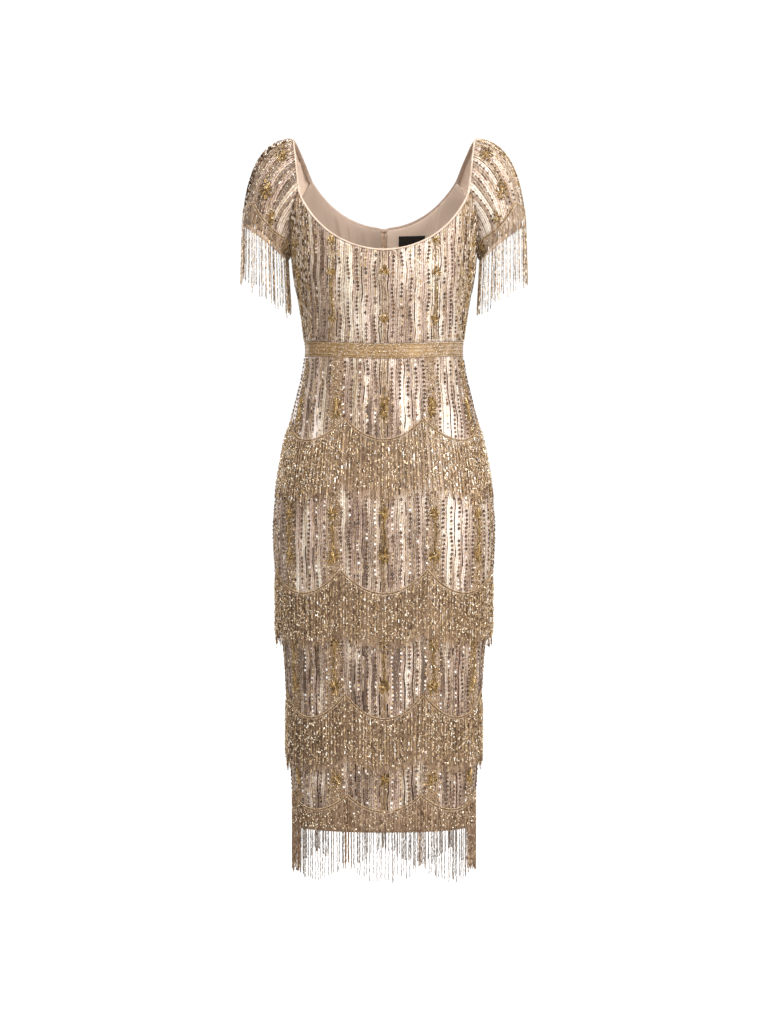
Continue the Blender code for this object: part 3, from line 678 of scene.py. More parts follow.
def bead_piece(name, sheet, batches, material, slot="beaded_cloth", node=None):
    """One piece from batches of beads, sewn to a sheet of cloth."""
    starts = np.cumsum([0] + [len(batch.points) for batch in batches])
    points = np.concatenate([batch.points for batch in batches])
    faces = np.concatenate([batch.faces + start for batch, start in zip(batches, starts)])
    tone = np.clip(np.concatenate([batch.tone for batch in batches]), 0, 1)
    shade = np.clip(np.concatenate([batch.shade for batch in batches]), 0, 1)
    thing = mesh_object(name, points, faces, material)
    store(thing.data, "tone", tone)
    store(thing.data, "shade", shade)
    uv = 0.02 + 0.96 * np.stack([tone[faces[:, 0]], shade[faces[:, 0]]], 1)[:, None] + UV_CORNERS
    layer = thing.data.uv_layers.new(name="OFBake", do_init=False)
    layer.uv.foreach_set("vector", uv.astype(np.float32).ravel())
    worn(thing, node)
    sheets[sheet].trims.append(thing)
    print(name, len(faces), "triangles")


# %% [markdown]
# ## Cloth
#
# The real cloth is nude net, covered with satin-like rows of pale beads that stand up in soft bands, two
# columns wide. Where a fringe hides it, or gold beads take over, the net shows brown. Each panel is a grid
# whose upright lines follow the columns, so bands and beads line up, and Solidify gives it its thickness.
# Three numbers on the grid steer the finish: `column`; one for the brown net, which on the front panels also
# spreads in towards the side seams as painted shade; and one for painted highlights and painted shade on the
# rows. A painter would mask these by hand, and numbers on the mesh do the same and survive every export.

# %% Say where the net shows and where highlights and shade are painted on the rows
# Each soft patch of painted highlight (amount above 0) or of painted shade (amount below 0): its column and
# height, how wide and how tall it is, and how much it adds
Shine = namedtuple("Shine", "column height wide tall amount")
PAINTED_LIGHT_AND_SHADE_ROWS = (
    *((-6, -285, 1.3, 30, 0.40), (-10, -232, 1.4, 34, 0.22), (7.5, -287, 1.7, 34, 0.45)),
    *((11, -225, 2.2, 36, 0.25), (3, -218, 1.4, 26, 0.18), (-20, -250, 4.0, 80, -0.30)),
    *((4.6, -418, 1.7, 42, 0.52), (-5, -392, 1.6, 34, 0.22), (-8, -430, 2.0, 30, 0.15)),
    *((17, -448, 2.2, 26, 0.65), (-18, -450, 2.2, 24, 0.55), (17.6, -600, 1.1, 56, 0.7)),
    *((14.5, -610, 1.6, 40, 0.40), (-18.5, -604, 2.6, 50, 0.30), (4, -620, 1.2, 40, 0.25)),
    *((-16.5, -842, 2.0, 40, 0.5), (5, -838, 1.2, 34, 0.35), (19, -838, 1.4, 34, 0.30)),
    *((0, -260, 26, 90, 0.04), (13, -260, 8, 80, 0.14), (15, -430, 6.0, 60, 0.10)),
    *((6.5, -290, 4.5, 70, -0.24), (-14, -430, 9.0, 60, -0.14), (0, -430, 8.0, 60, -0.34)),
    *((0, -610, 9.0, 70, -0.30), (-16, -600, 5.0, 70, -0.20), (6.5, -600, 4.5, 70, -0.12)),
    *((18, -600, 7.0, 70, 0.10), (0, -840, 40, 70, -0.30), (-19, -840, 9.0, 60, -0.16)),
    *((17, -840, 7.0, 60, -0.12), (0, -990, 40, 40, -0.28), (-17, -985, 1.8, 20, 0.45)),
    *((5.5, -984, 1.3, 20, 0.35), (17, -985, 1.5, 18, 0.25)),
)
PAINTED_LIGHTS_AND_SHADES = [Shine(*row) for row in PAINTED_LIGHT_AND_SHADE_ROWS]
print(len(PAINTED_LIGHTS_AND_SHADES), "patches of light and dark in front")
STRIP_BARE = {0: 0.22, 12: 0.85, 24: 0.8, 36: 0.7}
STRIP_HALF = 1.6
SIDE_COLUMN = 28.5
BODICE_SIDE_COLUMN = 14.5
REPEAT = 12


def smooth_step(value):
    value = np.clip(value, 0, 1)
    return value * value * (3 - 2 * value)


def under_fringe(around, height, room=0.0, soft=1 * MM):
    """From 0 in the open to 1 under one of the three upper fringes or below the last cord."""
    covered = smooth_step((cord_height(around, TIERS[3]) - height) / soft)
    for tier in TIERS[:3]:
        below_cord = smooth_step((cord_height(around, tier) + room - height) / soft)
        above_end = smooth_step((height - room - end_height(around, tier)) / soft)
        covered = np.maximum(covered, below_cord * above_end)
    return covered


def net_and_side_shade(panel, column, height):
    # Brown net under the fringes and along the gold strips. On the front panels only, it also spreads in
    # towards the side seams as painted shade.
    if not panel.skirt:
        bare = 0.3 * smooth_step((np.abs(column) - BODICE_SIDE_COLUMN) / 7)
        return np.broadcast_to(bare if panel.in_front else 0 * bare, np.broadcast(column, height).shape)
    bare = under_fringe(column_around(column, height, panel.in_front, True, panel.side), height, 0.0, 9 * MM)
    for strip, amount in STRIP_BARE.items():
        away = np.abs(np.abs(column) - strip)
        bare = np.maximum(bare, amount * smooth_step((STRIP_HALF + 0.6 - away) / 1.2))
    sides = smooth_step((np.abs(column) - SIDE_COLUMN) / 3) if panel.in_front else 0.0
    return np.maximum(bare, 0.75 * sides)


def painted_light_and_tone_at(panel, column, height):
    """Painted highlights and painted shade on the pale rows, from the table in front, and a soft wave of tone
    behind.
    """
    if not panel.in_front:
        return 0.22 * np.sin(column * 0.83) * np.sin(height / (41 * MM) + column * 0.6)
    shine = np.zeros(np.broadcast(column, height).shape)
    for row in PAINTED_LIGHTS_AND_SHADES:
        away = ((column - row.column) / row.wide) ** 2 + ((height - row.height * MM) / (row.tall * MM)) ** 2
        shine = shine + row.amount * np.exp(-away)
    return shine


# %% Finish of the banded cloth
NET = srgb(154, 126, 99)
SATIN_STOPS = [(0.0, srgb(88, 70, 58)), (0.25, srgb(141, 120, 106)), (0.5, srgb(181, 160, 145))]
SATIN_STOPS += [(0.75, srgb(212, 196, 183)), (1.0, srgb(243, 237, 232))]
KHAKI = srgb(236, 244, 226)
MAUVE = srgb(250, 232, 234)
DOTTED_LINE = srgb(104, 82, 66)
VALLEY_NET_AND_SHADE = srgb(132, 106, 86)
BEADS_PER_COLUMN = 4.2
BEADS_PER_METRE = 610.0
satin = Finish("banded_satin", Roughness=0.4, Sheen_Weight=0.1, Sheen_Roughness=0.4)
column, height = satin.attribute("column"), satin.attribute("height")
# How far a spot is from the middle of its band: 0 on the crest and 1 in the valley between two bands
away = satin.math("PINGPONG", satin.plus(column, 100.0), 1.0)
# Slow changes of tint and of hue, different from one half band to the next
spot = {"X": satin.times(satin.math("FLOOR", column), 7.31), "Y": satin.times(height, 8.0)}
spot = satin.add("CombineXYZ", spot).outputs[0]
patch = satin.add("TexNoise", {"Vector": spot, "Scale": 1.0, "Detail": 1.6, "Roughness": 0.5}).outputs["Fac"]
hue = satin.noise(spot, 0.37, 1.0)
# Tiny beads cover the rows, so each cell of a fine random net gets its own lightness and its own round top
spot = {"X": satin.times(column, BEADS_PER_COLUMN), "Y": satin.times(height, BEADS_PER_METRE)}
spot = {"Vector": satin.add("CombineXYZ", spot).outputs[0], "Scale": 1.0, "Randomness": 0.7}
cells = satin.add("TexVoronoi", spot, voronoi_dimensions="2D")
cell = satin.add("SeparateColor", {"Color": cells.outputs["Color"]}).outputs["Red"]
# Add up the tint: the slow patches, a painted highlight along the crest of each band with painted shade at its
# edges, the thin rows and the single beads
painted_crest_light = satin.minus(1.0, satin.times(satin.math("ABSOLUTE", satin.minus(away, 0.42)), 2.2))
thin_row = satin.math("PINGPONG", satin.plus(column, 100.0), 0.25)
tint = satin.times(patch, 1.75, -0.38)
for part, strength, less in ((painted_crest_light, 0.2, -0.09), (thin_row, 1.8, -0.22), (cell, 0.42, -0.21)):
    tint = satin.plus(tint, satin.times(part, strength, less))
# Lower down the skirt the rows differ more, so light and dark are pushed apart there
lower = {"Value": height, "From Min": -0.7, "From Max": -0.8, "To Min": 1.0, "To Max": 1.12}
tint = satin.times(satin.minus(tint, 0.5), satin.add("MapRange", lower).outputs["Result"], 0.5)
# The painted highlights and painted shade are added to the rows' tint here
rows = satin.ramp(satin.plus(tint, satin.attribute("shine")), SATIN_STOPS)
rows = satin.mix(1.0, rows, satin.mix(hue, KHAKI, MAUVE), "MULTIPLY")
# Thin dotted lines of tiny beads beside each crest, and in the valleys the net, drawn darker than the net
# elsewhere as painted shade in the grooves between the bands
near_line = satin.minus(1.0, satin.times(satin.math("ABSOLUTE", satin.minus(away, 0.5)), 8.0))
beat = satin.math("SINE", satin.times(column, 5.0, satin.times(height, 2300.0)))
dots = satin.times(satin.math("MAXIMUM", near_line, 0.0), satin.times(beat, 0.3, 0.3))
rows = satin.mix(dots, rows, DOTTED_LINE)
rows = satin.mix(satin.math("MAXIMUM", satin.times(satin.minus(away, 0.84), 5.0), 0.0), rows, VALLEY_NET_AND_SHADE)
net_tint = satin.times(cell, 0.3, 0.85)
net = satin.mix(1.0, NET, satin.add("CombineColor", dict.fromkeys(range(3), net_tint)).outputs[0], "MULTIPLY")
satin.paint(satin.mix(satin.attribute("bare"), rows, net))
satin.bump(satin.minus(1.0, cells.outputs["Distance"]), 0.3, 0.3 * MM)
SATIN = satin.material

# %% Finish of the plain lining, seen inside


def lining_finish(name, dark, pale, netted=False):
    """Plain twill between these two colours. Where netted, the brown net shows at the cuffs."""
    finish = Finish(name, Roughness=0.62, Sheen_Weight=0.2, Sheen_Roughness=0.5)
    place = finish.place()
    cloth = finish.ramp(finish.noise(place, 14.0, 3.0), [(0.3, dark), (0.7, pale)])
    finish.paint(finish.mix(finish.attribute("bare"), cloth, NET) if netted else cloth)
    finish.bump(finish.weave(place, 900.0, 0.6, "DIAGONAL"), 0.25, 0.1 * MM)
    return finish.material


LINING_CLOTH = lining_finish("nude_lining", srgb(160, 138, 118), srgb(176, 153, 133))
# The inside of the sleeves is painted much paler than the lining elsewhere: painted light against the shade
# inside the sleeve. Where netted, the brown net still shows at the cuffs.
SLEEVE_LINING_PAINTED_LIGHT = lining_finish("pale_lining", srgb(232, 210, 190), srgb(242, 222, 204), True)
# One lining cloth in two copies: the wearer's left half painted lighter and the right half darker, painted
# light and shade that evens out how the lamps light the inside of the back
LININGS_PAINTED_LIT_AND_SHADED = {
    1: lining_finish("nude_lining_left", srgb(182, 159, 141), srgb(198, 175, 156)),
    -1: lining_finish("nude_lining_right", srgb(148, 127, 110), srgb(163, 141, 123)),
}

# %% Helpers for sheets of cloth
CLOTH_THICKNESS = 1.0 * MM


def grid_faces(rows, columns, flip, closed):
    """Quads of a grid of rows × columns points."""
    r, c = np.meshgrid(np.arange(rows - 1), np.arange(columns if closed else columns - 1), indexing="ij")
    following = (c + 1) % columns
    quads = [r * columns + c, r * columns + following, (r + 1) * columns + following, (r + 1) * columns + c]
    return np.stack(quads[::-1] if flip else quads, -1).reshape(-1, 4)


def grid_area(grid):
    across, up = grid[:-1, 1:] - grid[:-1, :-1], grid[1:, :-1] - grid[:-1, :-1]
    return float(np.linalg.norm(np.cross(across, up), axis=-1).sum())


def cloth_sheet(name, grid, finish, slot, node, flip=False, closed=False, **more):
    """A sheet of cloth on a grid of points, thickened inwards. It takes the place of a plain solid.

    More can be said: thickness, a finish for the inside, numbers for the finish, flat size and area."""
    thing = mesh_object(name, grid.reshape(-1, 3), grid_faces(*grid.shape[:2], flip, closed), finish, True)
    for key, values in more.get("numbers", {}).items():
        store(thing.data, key, np.broadcast_to(values, grid.shape[:2]).ravel())
    solid = thing.modifiers.new("thickness", "SOLIDIFY")
    solid.thickness = more.get("thickness", CLOTH_THICKNESS)
    solid.offset = -1
    solid.use_even_offset = False
    if "inside" in more:
        thing.data.materials.append(more["inside"])
        solid.material_offset = 1
    worn(thing, node)
    loop = np.concatenate([grid, grid[:, :1]], axis=1) if closed else grid
    sizes = [np.linalg.norm(np.diff(loop, axis=axis), axis=-1).sum(axis).max() for axis in (1, 0)]
    width, length = map(float, more.get("flat", sizes))
    sheets[name] = Sheet(thing, more.get("area", grid_area(loop)), width, length, [])
    print(name, "area", round(sheets[name].area, 4), "m2, flat", round(width, 3), round(length, 3))


# %% Make the panels
BAND_HEIGHT = 1.1 * MM
BAND_SUNK = 0.4 * MM
ROW_STEP = 10 * MM
BACK_COLUMNS = 40


def band_lift(column):
    """How far the cloth stands off the form: highest at each even column and lowest at each odd one."""
    away = np.abs((np.asarray(column) + 1) % 2 - 1)
    return BAND_HEIGHT * (1 - away**2.5) - BAND_SUNK


def panel_lines(panel):
    """The upright lines of a panel's grid: each half column, and the two edges."""
    inner = np.arange(-math.floor(panel.last * 2), math.floor(panel.last * 2) + 1) / 2
    first, room = (-panel.last, 0.1 - panel.last) if panel.in_front else (0.03, 0.1)
    return np.concatenate([[first], inner[(inner > room) & (inner < panel.last - 0.1)], [panel.last]])


for panel in PANELS:
    lines = panel_lines(panel)
    low, high = panel.bottom(lines), panel.top(lines)
    rows = max(6, int(round((high - low).max() / ROW_STEP)))
    heights = low + np.linspace(0, 1, rows + 1)[:, None] * (high - low)
    numbers = {
        "column": lines + (0 if panel.in_front else BACK_COLUMNS),
        "height": heights,
        "bare": net_and_side_shade(panel, lines, heights),
        "shine": painted_light_and_tone_at(panel, lines, heights),
    }
    flat = {"flat": (np.ptp(lines) * PITCH, (high - low).max())}
    flat["area"] = grid_area(on_panel(panel, lines, heights)[0])
    grid, _ = on_panel(panel, lines, heights, band_lift(lines))
    turned = not panel.in_front and panel.side > 0
    looks = {"numbers": numbers, "inside": LINING_CLOTH}
    cloth_sheet(panel.name + "_cloth", grid, SATIN, "beaded_cloth", panel.name, turned, **looks, **flat)

# %% [markdown]
# ## Beading on the panels
#
# Twelve columns make one repeat: a gold motif strip, then towards each side a line of bugle beads, sequins, a
# faint line of seed beads, sequins again, bugles again, and sequins in the middle between two strips. Dark
# beads come in runs, with pale ones between, because the eye enjoys a pattern that breathes. Towards the side
# seams the columns give way to mixed glitter, and under the fringe the net is left bare.

# %% Helpers for columns of beads


def open_heights(panel, column, heights):
    """The heights of a column that no fringe hides."""
    around = column_around(column, heights, panel.in_front, panel.skirt, panel.side)
    return heights[under_fringe(around, heights, 4 * MM) < 0.5] if panel.skirt else heights


def runs_on(random, count, to_on, to_off):
    """A row of true and false in runs, with these chances of starting and of stopping."""
    chances, state, found = random.random(count), random.random() < 0.6, []
    for chance in chances:
        state = chance >= to_off if state else chance < to_on
        found.append(state)
    return np.array(found, bool)


def column_heights(random, panel, column, spacing, vary, margin):
    """Uneven heights down one column of a panel, where it shows."""
    low, high = float(panel.bottom(column)) + margin, float(panel.top(column)) - margin
    if high - low < 4 * MM:
        return np.zeros(0)
    steps = spacing * (1 + vary * random.uniform(-1, 1, int((high - low) / spacing / (1 - vary)) + 1))
    heights = high - np.cumsum(steps) + steps[0] * random.random()
    return open_heights(panel, column, heights[(heights > low) & (heights < high)])


def lay(shape, panel, column, heights, rise, sizes, tone, shade, spin=0.0):
    """Beads of one shape down a column. sizes are their width, length and height."""
    places, out = on_panel(panel, column, heights, band_lift(column) + rise)
    above, _ = on_panel(panel, column, heights + 1 * MM, band_lift(column) + rise)
    return sprinkle(shape, places, above - places, out, sizes, tone, shade, spin)


def picked(random, tones, count):
    return random.choice(tones, count) + random.uniform(-0.03, 0.03, count)


# %% Fill one column
# Where two values stand for the bodice and the skirt, False is the bodice and True is the skirt
SEQUIN_SPACING = {False: 5.8 * MM, True: 6.3 * MM}
SEQUIN_LIFT = 0.15 * MM
DARK_SIZES = (3.8, 4.8)
PALE_SIZES = (2.6, 3.8)
DARK_TONES = (0.03, 0.07, 0.12, 0.2)
PALE_TONES = {False: (0.2, 0.5, 0.66, 0.8), True: (0.2, 0.6, 0.84, 1.0)}
CENTRE_BEAD = 1.2 * MM
CENTRE_TONES = (0.3, 0.7, 0.92)
BUGLE_SPACING = 5.3 * MM
BUGLE_LONG = 4.9 * MM
BUGLE_LIFT = 0.7 * MM
PALE_THICK = 1.2 * MM
DARK_THICK = 1.6 * MM
LOW_THICK = 2.2 * MM
# Below this height more of the sequins are pale, and more of the bugles are dark
VARIED_BELOW = -770 * MM
PALE_BELOW = 0.12
DARK_BELOW = 0.55


def sequin_column(random, panel, column, sides):
    """Wide dark sequins, each with a small bead at its centre, and smaller pale ones between their runs."""
    heights = column_heights(random, panel, column, SEQUIN_SPACING[panel.skirt], 0.08, 3 * MM)
    on = runs_on(random, len(heights), 0.2 if sides else 0.34, 0.3 if sides else 0.2)
    on = on & ~((heights < VARIED_BELOW) & (random.random() < PALE_BELOW))
    dark, pale = heights[on], heights[~on]
    wide = random.uniform(*DARK_SIZES, len(dark)) * MM
    small = random.uniform(*PALE_SIZES, len(pale)) * MM
    shade = 0.5 + 0.5 * random.random(len(dark))
    pale_tones = picked(random, PALE_TONES[panel.skirt], len(pale))
    dark_tones = picked(random, DARK_TONES, len(dark))
    centre_tones = picked(random, CENTRE_TONES, len(dark))
    pale_shade = 0.6 + 0.4 * random.random(len(pale))
    return [
        lay(SEQUIN, panel, column, dark, SEQUIN_LIFT, (wide,) * 3, dark_tones, shade),
        lay(CHIP, panel, column, dark, 1.0 * MM, (CENTRE_BEAD,) * 3, centre_tones, shade),
        lay(SEQUIN, panel, column, pale, SEQUIN_LIFT, (small,) * 3, pale_tones, pale_shade),
    ]


def bugle_column(random, panel, column, chance_on, dark_tones, pale_tones):
    """Thick dark bugles in runs, thicker still low on the skirt, and thin pale ones between."""
    heights = column_heights(random, panel, column, BUGLE_SPACING, 0.05, 3 * MM)
    on = runs_on(random, len(heights), chance_on, 0.22)
    on = on | ((heights < VARIED_BELOW) & (random.random() < DARK_BELOW))
    found = []
    for chosen, tones, dark in ((heights[on], dark_tones, True), (heights[~on], pale_tones, False)):
        tone, shade = picked(random, tones, len(chosen)), random.random(len(chosen))
        thick = PALE_THICK
        if dark:
            thick, shade = np.where(chosen < VARIED_BELOW, LOW_THICK, DARK_THICK), shade * 0.5
        sizes, spin = (thick, BUGLE_LONG, thick), random.random(len(chosen)) * 3
        found.append(lay(SLIM_BUGLE, panel, column, chosen, BUGLE_LIFT, sizes, tone, shade, spin))
    return found


def seed_column(random, panel, column, spacing, tones, size, stray=0.0):
    """The smallest beads down a column, straying this far to either side."""
    heights = column_heights(random, panel, column, spacing, 0.25, 2 * MM)
    count = len(heights)
    at = column + random.uniform(-stray, stray, count)
    wide = size * random.uniform(0.8, 1.25, count)
    tone, shade = picked(random, tones, count), random.random(count)
    sizes = (wide, wide * 1.15, wide)
    return [lay(CHIP, panel, at, heights, 0.5 * MM, sizes, tone, shade, random.random(count) * 6)]


# %% Fill the columns of every panel
SIDE_FROM = {False: 18, True: 28}
BUGLE_DARKS = (0.0, 0.08, 0.16)
BUGLE_SIDE_DARKS = (0.05, 0.25, 0.45)
BUGLE_PALES = (0.3, 0.5, 0.66, 0.8)
BUGLE_GOLDS = ((0.32, 0.4, 0.5), (0.55, 0.62, 0.7))
BUGLE_GLITTER = ((0.1, 0.9), (0.4, 0.55, 0.75, 0.86))
LINE_TONES = (0.1, 0.25, 0.45, 0.66, 0.84)
GLITTER_TONES = (0.22, 0.36, 0.48, 0.64, 0.82, 1.0)
STRIP_STRANDS = (-1.5, -1.05, -0.6, -0.2, 0.2, 0.6, 1.05, 1.5)
STRIP_TONES = (0.12, 0.24, 0.34, 0.42, 0.5, 0.66, 1.0)


def bead_panel(panel, seed):
    """The sequins of a panel and its lines of other beads."""
    random = np.random.default_rng(seed)
    last = int(panel.last)
    sequins, lines = [], []
    for column in range(-last if panel.in_front else 1, last + 1):
        kind = min(column % REPEAT, REPEAT - column % REPEAT)
        sides = panel.in_front and abs(column) > SIDE_FROM[panel.skirt]
        if kind == 1 and panel.skirt and abs(column) > 2:
            continue
        if kind in (2, 4, 6):
            sequins += sequin_column(random, panel, column, sides)
        elif kind in (1, 5):
            darks = BUGLE_SIDE_DARKS if sides else BUGLE_DARKS
            lines += bugle_column(random, panel, column, 0.15, darks, BUGLE_PALES)
        elif kind == 3:
            lines += seed_column(random, panel, column, 2.5 * MM, LINE_TONES, 1.5 * MM)
        elif column == 0 or not panel.skirt:
            for shift in (-0.36, 0.36):
                lines += bugle_column(random, panel, column + shift, 0.3, *BUGLE_GOLDS)
        else:
            for shift in STRIP_STRANDS:
                lines += seed_column(random, panel, column + shift, 2.6 * MM, STRIP_TONES, 1.8 * MM, 0.06)
        if sides:
            lines += seed_column(random, panel, column + 0.5, 2.4 * MM, GLITTER_TONES, 1.7 * MM, 0.35)
            if not panel.skirt:
                lines += bugle_column(random, panel, column + 0.5, 0.1, *BUGLE_GLITTER)
    return sequins, lines


for seed, panel in enumerate(PANELS, 100):
    for kind, batches in zip(("_sequins", "_bead_lines"), bead_panel(panel, seed)):
        bead_piece(panel.name + kind, panel.name + "_cloth", batches, SEWN_BEADS)

# %% [markdown]
# ## Flowers, stems and gold leaves
#
# On every twelfth column an ordinary flower of gold bugles opens over a stem, with a burst of rays at the
# stem's foot, as on many beaded dresses of this style. Each is said by its height and by which way its rays
# point. Loose gold beads are scattered round them like leaves, thicker on the skirt, where they grow into
# gold strips that run between the scallops.

# %% Say where the flowers and the stems are
Flower = namedtuple("Flower", "height first last rays reach")
# Below the neck in the middle there is no room for the highest flower
NECK_FLOWER = -170
BODICE_FLOWERS = (Flower(NECK_FLOWER, -30, 210, 9, 8.5), Flower(-219, -10, 190, 10, 10.5))
BODICE_FLOWERS += (Flower(-282, 170, 370, 9, 9.5),)
# The skirt's flowers are whole: their height, how many rays they have and how far these reach
WHOLE_FLOWERS = ((-412, 13, 11), (-427, 11, 11), (-580, 13, 11), (-643, 15, 13), (-776, 13, 10.5))
WHOLE_FLOWERS += ((-840, 15, 13), (-980, 14, 12))
SKIRT_FLOWERS = [Flower(height, 0, 360, rays, reach) for height, rays, reach in WHOLE_FLOWERS]
FLOWERS = {False: BODICE_FLOWERS, True: SKIRT_FLOWERS}
Stem = namedtuple("Stem", "top foot")
STEMS = {False: (Stem(-224, -276),), True: (Stem(-590, -634), Stem(-786, -832))}
print(len(BODICE_FLOWERS), "flowers up a strip of the bodice and", len(SKIRT_FLOWERS), "up one of the skirt")

# %% Lay the beads of one flower
FLOWER_NARROW = 0.62
FLOWER_THICK = 1.9 * MM
GOLD_TONES = (0.1, 0.3, 0.45, 0.55, 0.62)
HALO_BEADS = 22
HALO_REACH = 0.45
HALO_TONES = (0.0, 0.15, 0.3, 0.45, 0.55, 0.65, 0.9)
TIP_LONG = 1.8 * MM
TIP_TONES = (0.62, 0.8, 0.4)
EYE_RADIUS = 1.5 * MM
EYE_BEADS = 6
EYE_SPREAD = 1.3 * MM
EYE_LONG = 2.2 * MM
EYE_TONES = (0.5, 0.75, 1.0)


def flower_beads(random, flower, across=FLOWER_NARROW):
    """Across and up places, turns, lengths and tones of the beads of one flower, about its own middle."""
    turns = np.radians(np.linspace(flower.first, flower.last, flower.rays, endpoint=False))
    turns = turns + random.normal(0, 0.1, flower.rays)
    rows = []
    for turn in turns:
        narrow = 1 - (1 - across) * abs(math.cos(turn))
        reach = flower.reach * random.uniform(0.85, 1.15) * narrow * MM
        half = (reach - EYE_RADIUS) / 2
        for share in (0.25, 0.75):
            away = EYE_RADIUS + share * 2 * half
            rows.append((away * math.cos(turn), away * math.sin(turn), turn, half, random.choice(GOLD_TONES)))
        tip = random.choice(TIP_TONES)
        rows.append((reach * math.cos(turn), reach * math.sin(turn), turn, TIP_LONG, tip))
    for _ in range(EYE_BEADS):
        rows.append((*random.normal(0, EYE_SPREAD, 2), 0.0, EYE_LONG, random.choice(EYE_TONES)))
    return np.array(rows)


def flower_rays(random, rows, places, above, out):
    """The beads of a flower at these places, each turned along its own ray."""
    straight, turn = unit(above - places), rows[:, 2:3]
    along = np.cross(straight, out) * np.cos(turn) + straight * np.sin(turn)
    sizes, shade = (FLOWER_THICK, rows[:, 3], FLOWER_THICK), 0.5 + 0.5 * random.random(len(rows))
    return sprinkle(SLIM_BUGLE, places, along, out, sizes, rows[:, 4], shade)


def halo_beads(random, reach):
    """Across and up places, sizes, tones and turns of the small beads that fill out a flower."""
    places = random.normal(0, HALO_REACH * reach * MM, (HALO_BEADS, 2))
    sizes = random.uniform(1.4, 2.3, HALO_BEADS) * MM
    return (*places.T, sizes, picked(random, HALO_TONES, HALO_BEADS), 6 * random.random(HALO_BEADS))


# %% Sew the gold beads on the panels
FLOWER_LIFT = 1.6 * MM
STEM_SIZES = (1.5 * MM, 4.2 * MM, 1.5 * MM)
LEAF_SPACING = {False: 2.1 * MM, True: 1.5 * MM}


def panel_flower(random, panel, centre, flower):
    height = flower.height * MM
    rows = flower_beads(random, flower)
    at, up = centre + rows[:, 0] / PITCH, height + rows[:, 1]
    places, out = on_panel(panel, at, up, FLOWER_LIFT)
    rays = flower_rays(random, rows, places, on_panel(panel, at, up + 1 * MM, FLOWER_LIFT)[0], out)
    across, up, size, tone, spin = halo_beads(random, flower.reach)
    at, shade = centre + FLOWER_NARROW * across / PITCH, random.random(HALO_BEADS)
    return [rays, lay(CHIP, panel, at, height + up, 1.0 * MM, (size, size * 1.3, size), tone, shade, spin)]


def panel_stem(random, panel, centre, stem):
    heights = np.arange(stem.foot, stem.top, 4.4) * MM
    batches = []
    for shift in (-0.2, 0.2):
        tone, shade = picked(random, GOLD_TONES, len(heights)), 0.6 + 0.4 * random.random(len(heights))
        batches.append(lay(SLIM_BUGLE, panel, centre + shift, heights, 0.9 * MM, STEM_SIZES, tone, shade))
    return batches


def gold_leaves(random, panel, centre):
    """Loose gold beads about one strip, densest on its middle line."""
    low, high = float(panel.bottom(centre)) + 4 * MM, float(panel.top(centre)) - 4 * MM
    heights = np.arange(low, high, LEAF_SPACING[panel.skirt])
    wide = 0.75 if not panel.skirt or centre == 0 else 1.1
    at = centre + np.clip(random.normal(0, wide, len(heights)), -2.2, 2.2)
    around = column_around(at, heights, panel.in_front, panel.skirt, panel.side)
    shown = (under_fringe(around, heights) < 0.5) | (not panel.skirt)
    keep = shown & (random.random(len(heights)) < (0.5 if centre == 0 else 1.0))
    heights, at = heights[keep], at[keep]
    count = len(heights)
    tone = picked(random, (*GOLD_TONES, 0.25, 0.8, 1.0, 1.0), count)
    size = random.uniform(1.5, 2.6, count) * MM
    shade, spin = random.random(count), random.random(count) * 6
    return lay(CHIP, panel, at, heights, 1.1 * MM, (size, size * 1.5, size), tone, shade, spin)


def gold_strips(panel, seed):
    """Flowers, stems and leaves on every twelfth column. The centre back is left free for the zip."""
    random = np.random.default_rng(seed)
    first = -2 if panel.in_front else 0
    columns = [REPEAT * i for i in range(first, 4) if -panel.last < REPEAT * i < panel.last - 1]
    batches = []
    for centre in columns:
        low, high = float(panel.bottom(centre)), float(panel.top(centre))
        for flower in FLOWERS[panel.skirt]:
            inside = low + 8 * MM < flower.height * MM < high - 6 * MM
            if inside and (centre != 0 or (panel.in_front and flower.height != NECK_FLOWER)):
                batches += panel_flower(random, panel, centre, flower)
        for stem in STEMS[panel.skirt]:
            inside = low < stem.foot * MM < stem.top * MM < high
            if inside and (centre != 0 or (panel.in_front and panel.skirt)):
                batches += panel_stem(random, panel, centre, stem)
    with_leaves = [centre for centre in columns if centre != 0 or panel.in_front]
    return batches + [gold_leaves(random, panel, centre) for centre in with_leaves]


for seed, panel in enumerate(PANELS, 150):
    bead_piece(panel.name + "_gold_flowers", panel.name + "_cloth", gold_strips(panel, seed), GOLD_BEADS)

# %% [markdown]
# ## Cords
#
# Each fringe hangs from a cord of two twisted rows of pale beads with a dark gap between them. The cord is
# followed at even steps of its own length, and each bead is tipped a little across the line, one row to the
# left and one to the right.

# %% Lay beads along a cord
CORD_STEP = 2.3 * MM
CORD_HALF = 1.7 * MM
CORD_LIFT = 2.3 * MM
CORD_SIZES = (1.9 * MM, 2.7 * MM, 1.9 * MM)
CORD_TONES = (0.4, 0.55, 0.7, 0.84)
CORD_GAP_TONES = (0.0, 0.1, 0.2)
CORD_ROWS = ((-CORD_HALF, 0.5, CORD_TONES, 0), (CORD_HALF, -0.5, CORD_TONES, 0))
CORD_ROWS += ((0, 0, CORD_GAP_TONES, 0.8 * MM),)
FINE = 2400


def along_line(line, run, at):
    """The values of a line of points at these runs along it."""
    return np.stack([np.interp(at, run, line[:, i]) for i in range(line.shape[1])], 1)


def run_of(points):
    return np.concatenate([[0], np.cumsum(np.linalg.norm(np.diff(points, axis=0), axis=1))])


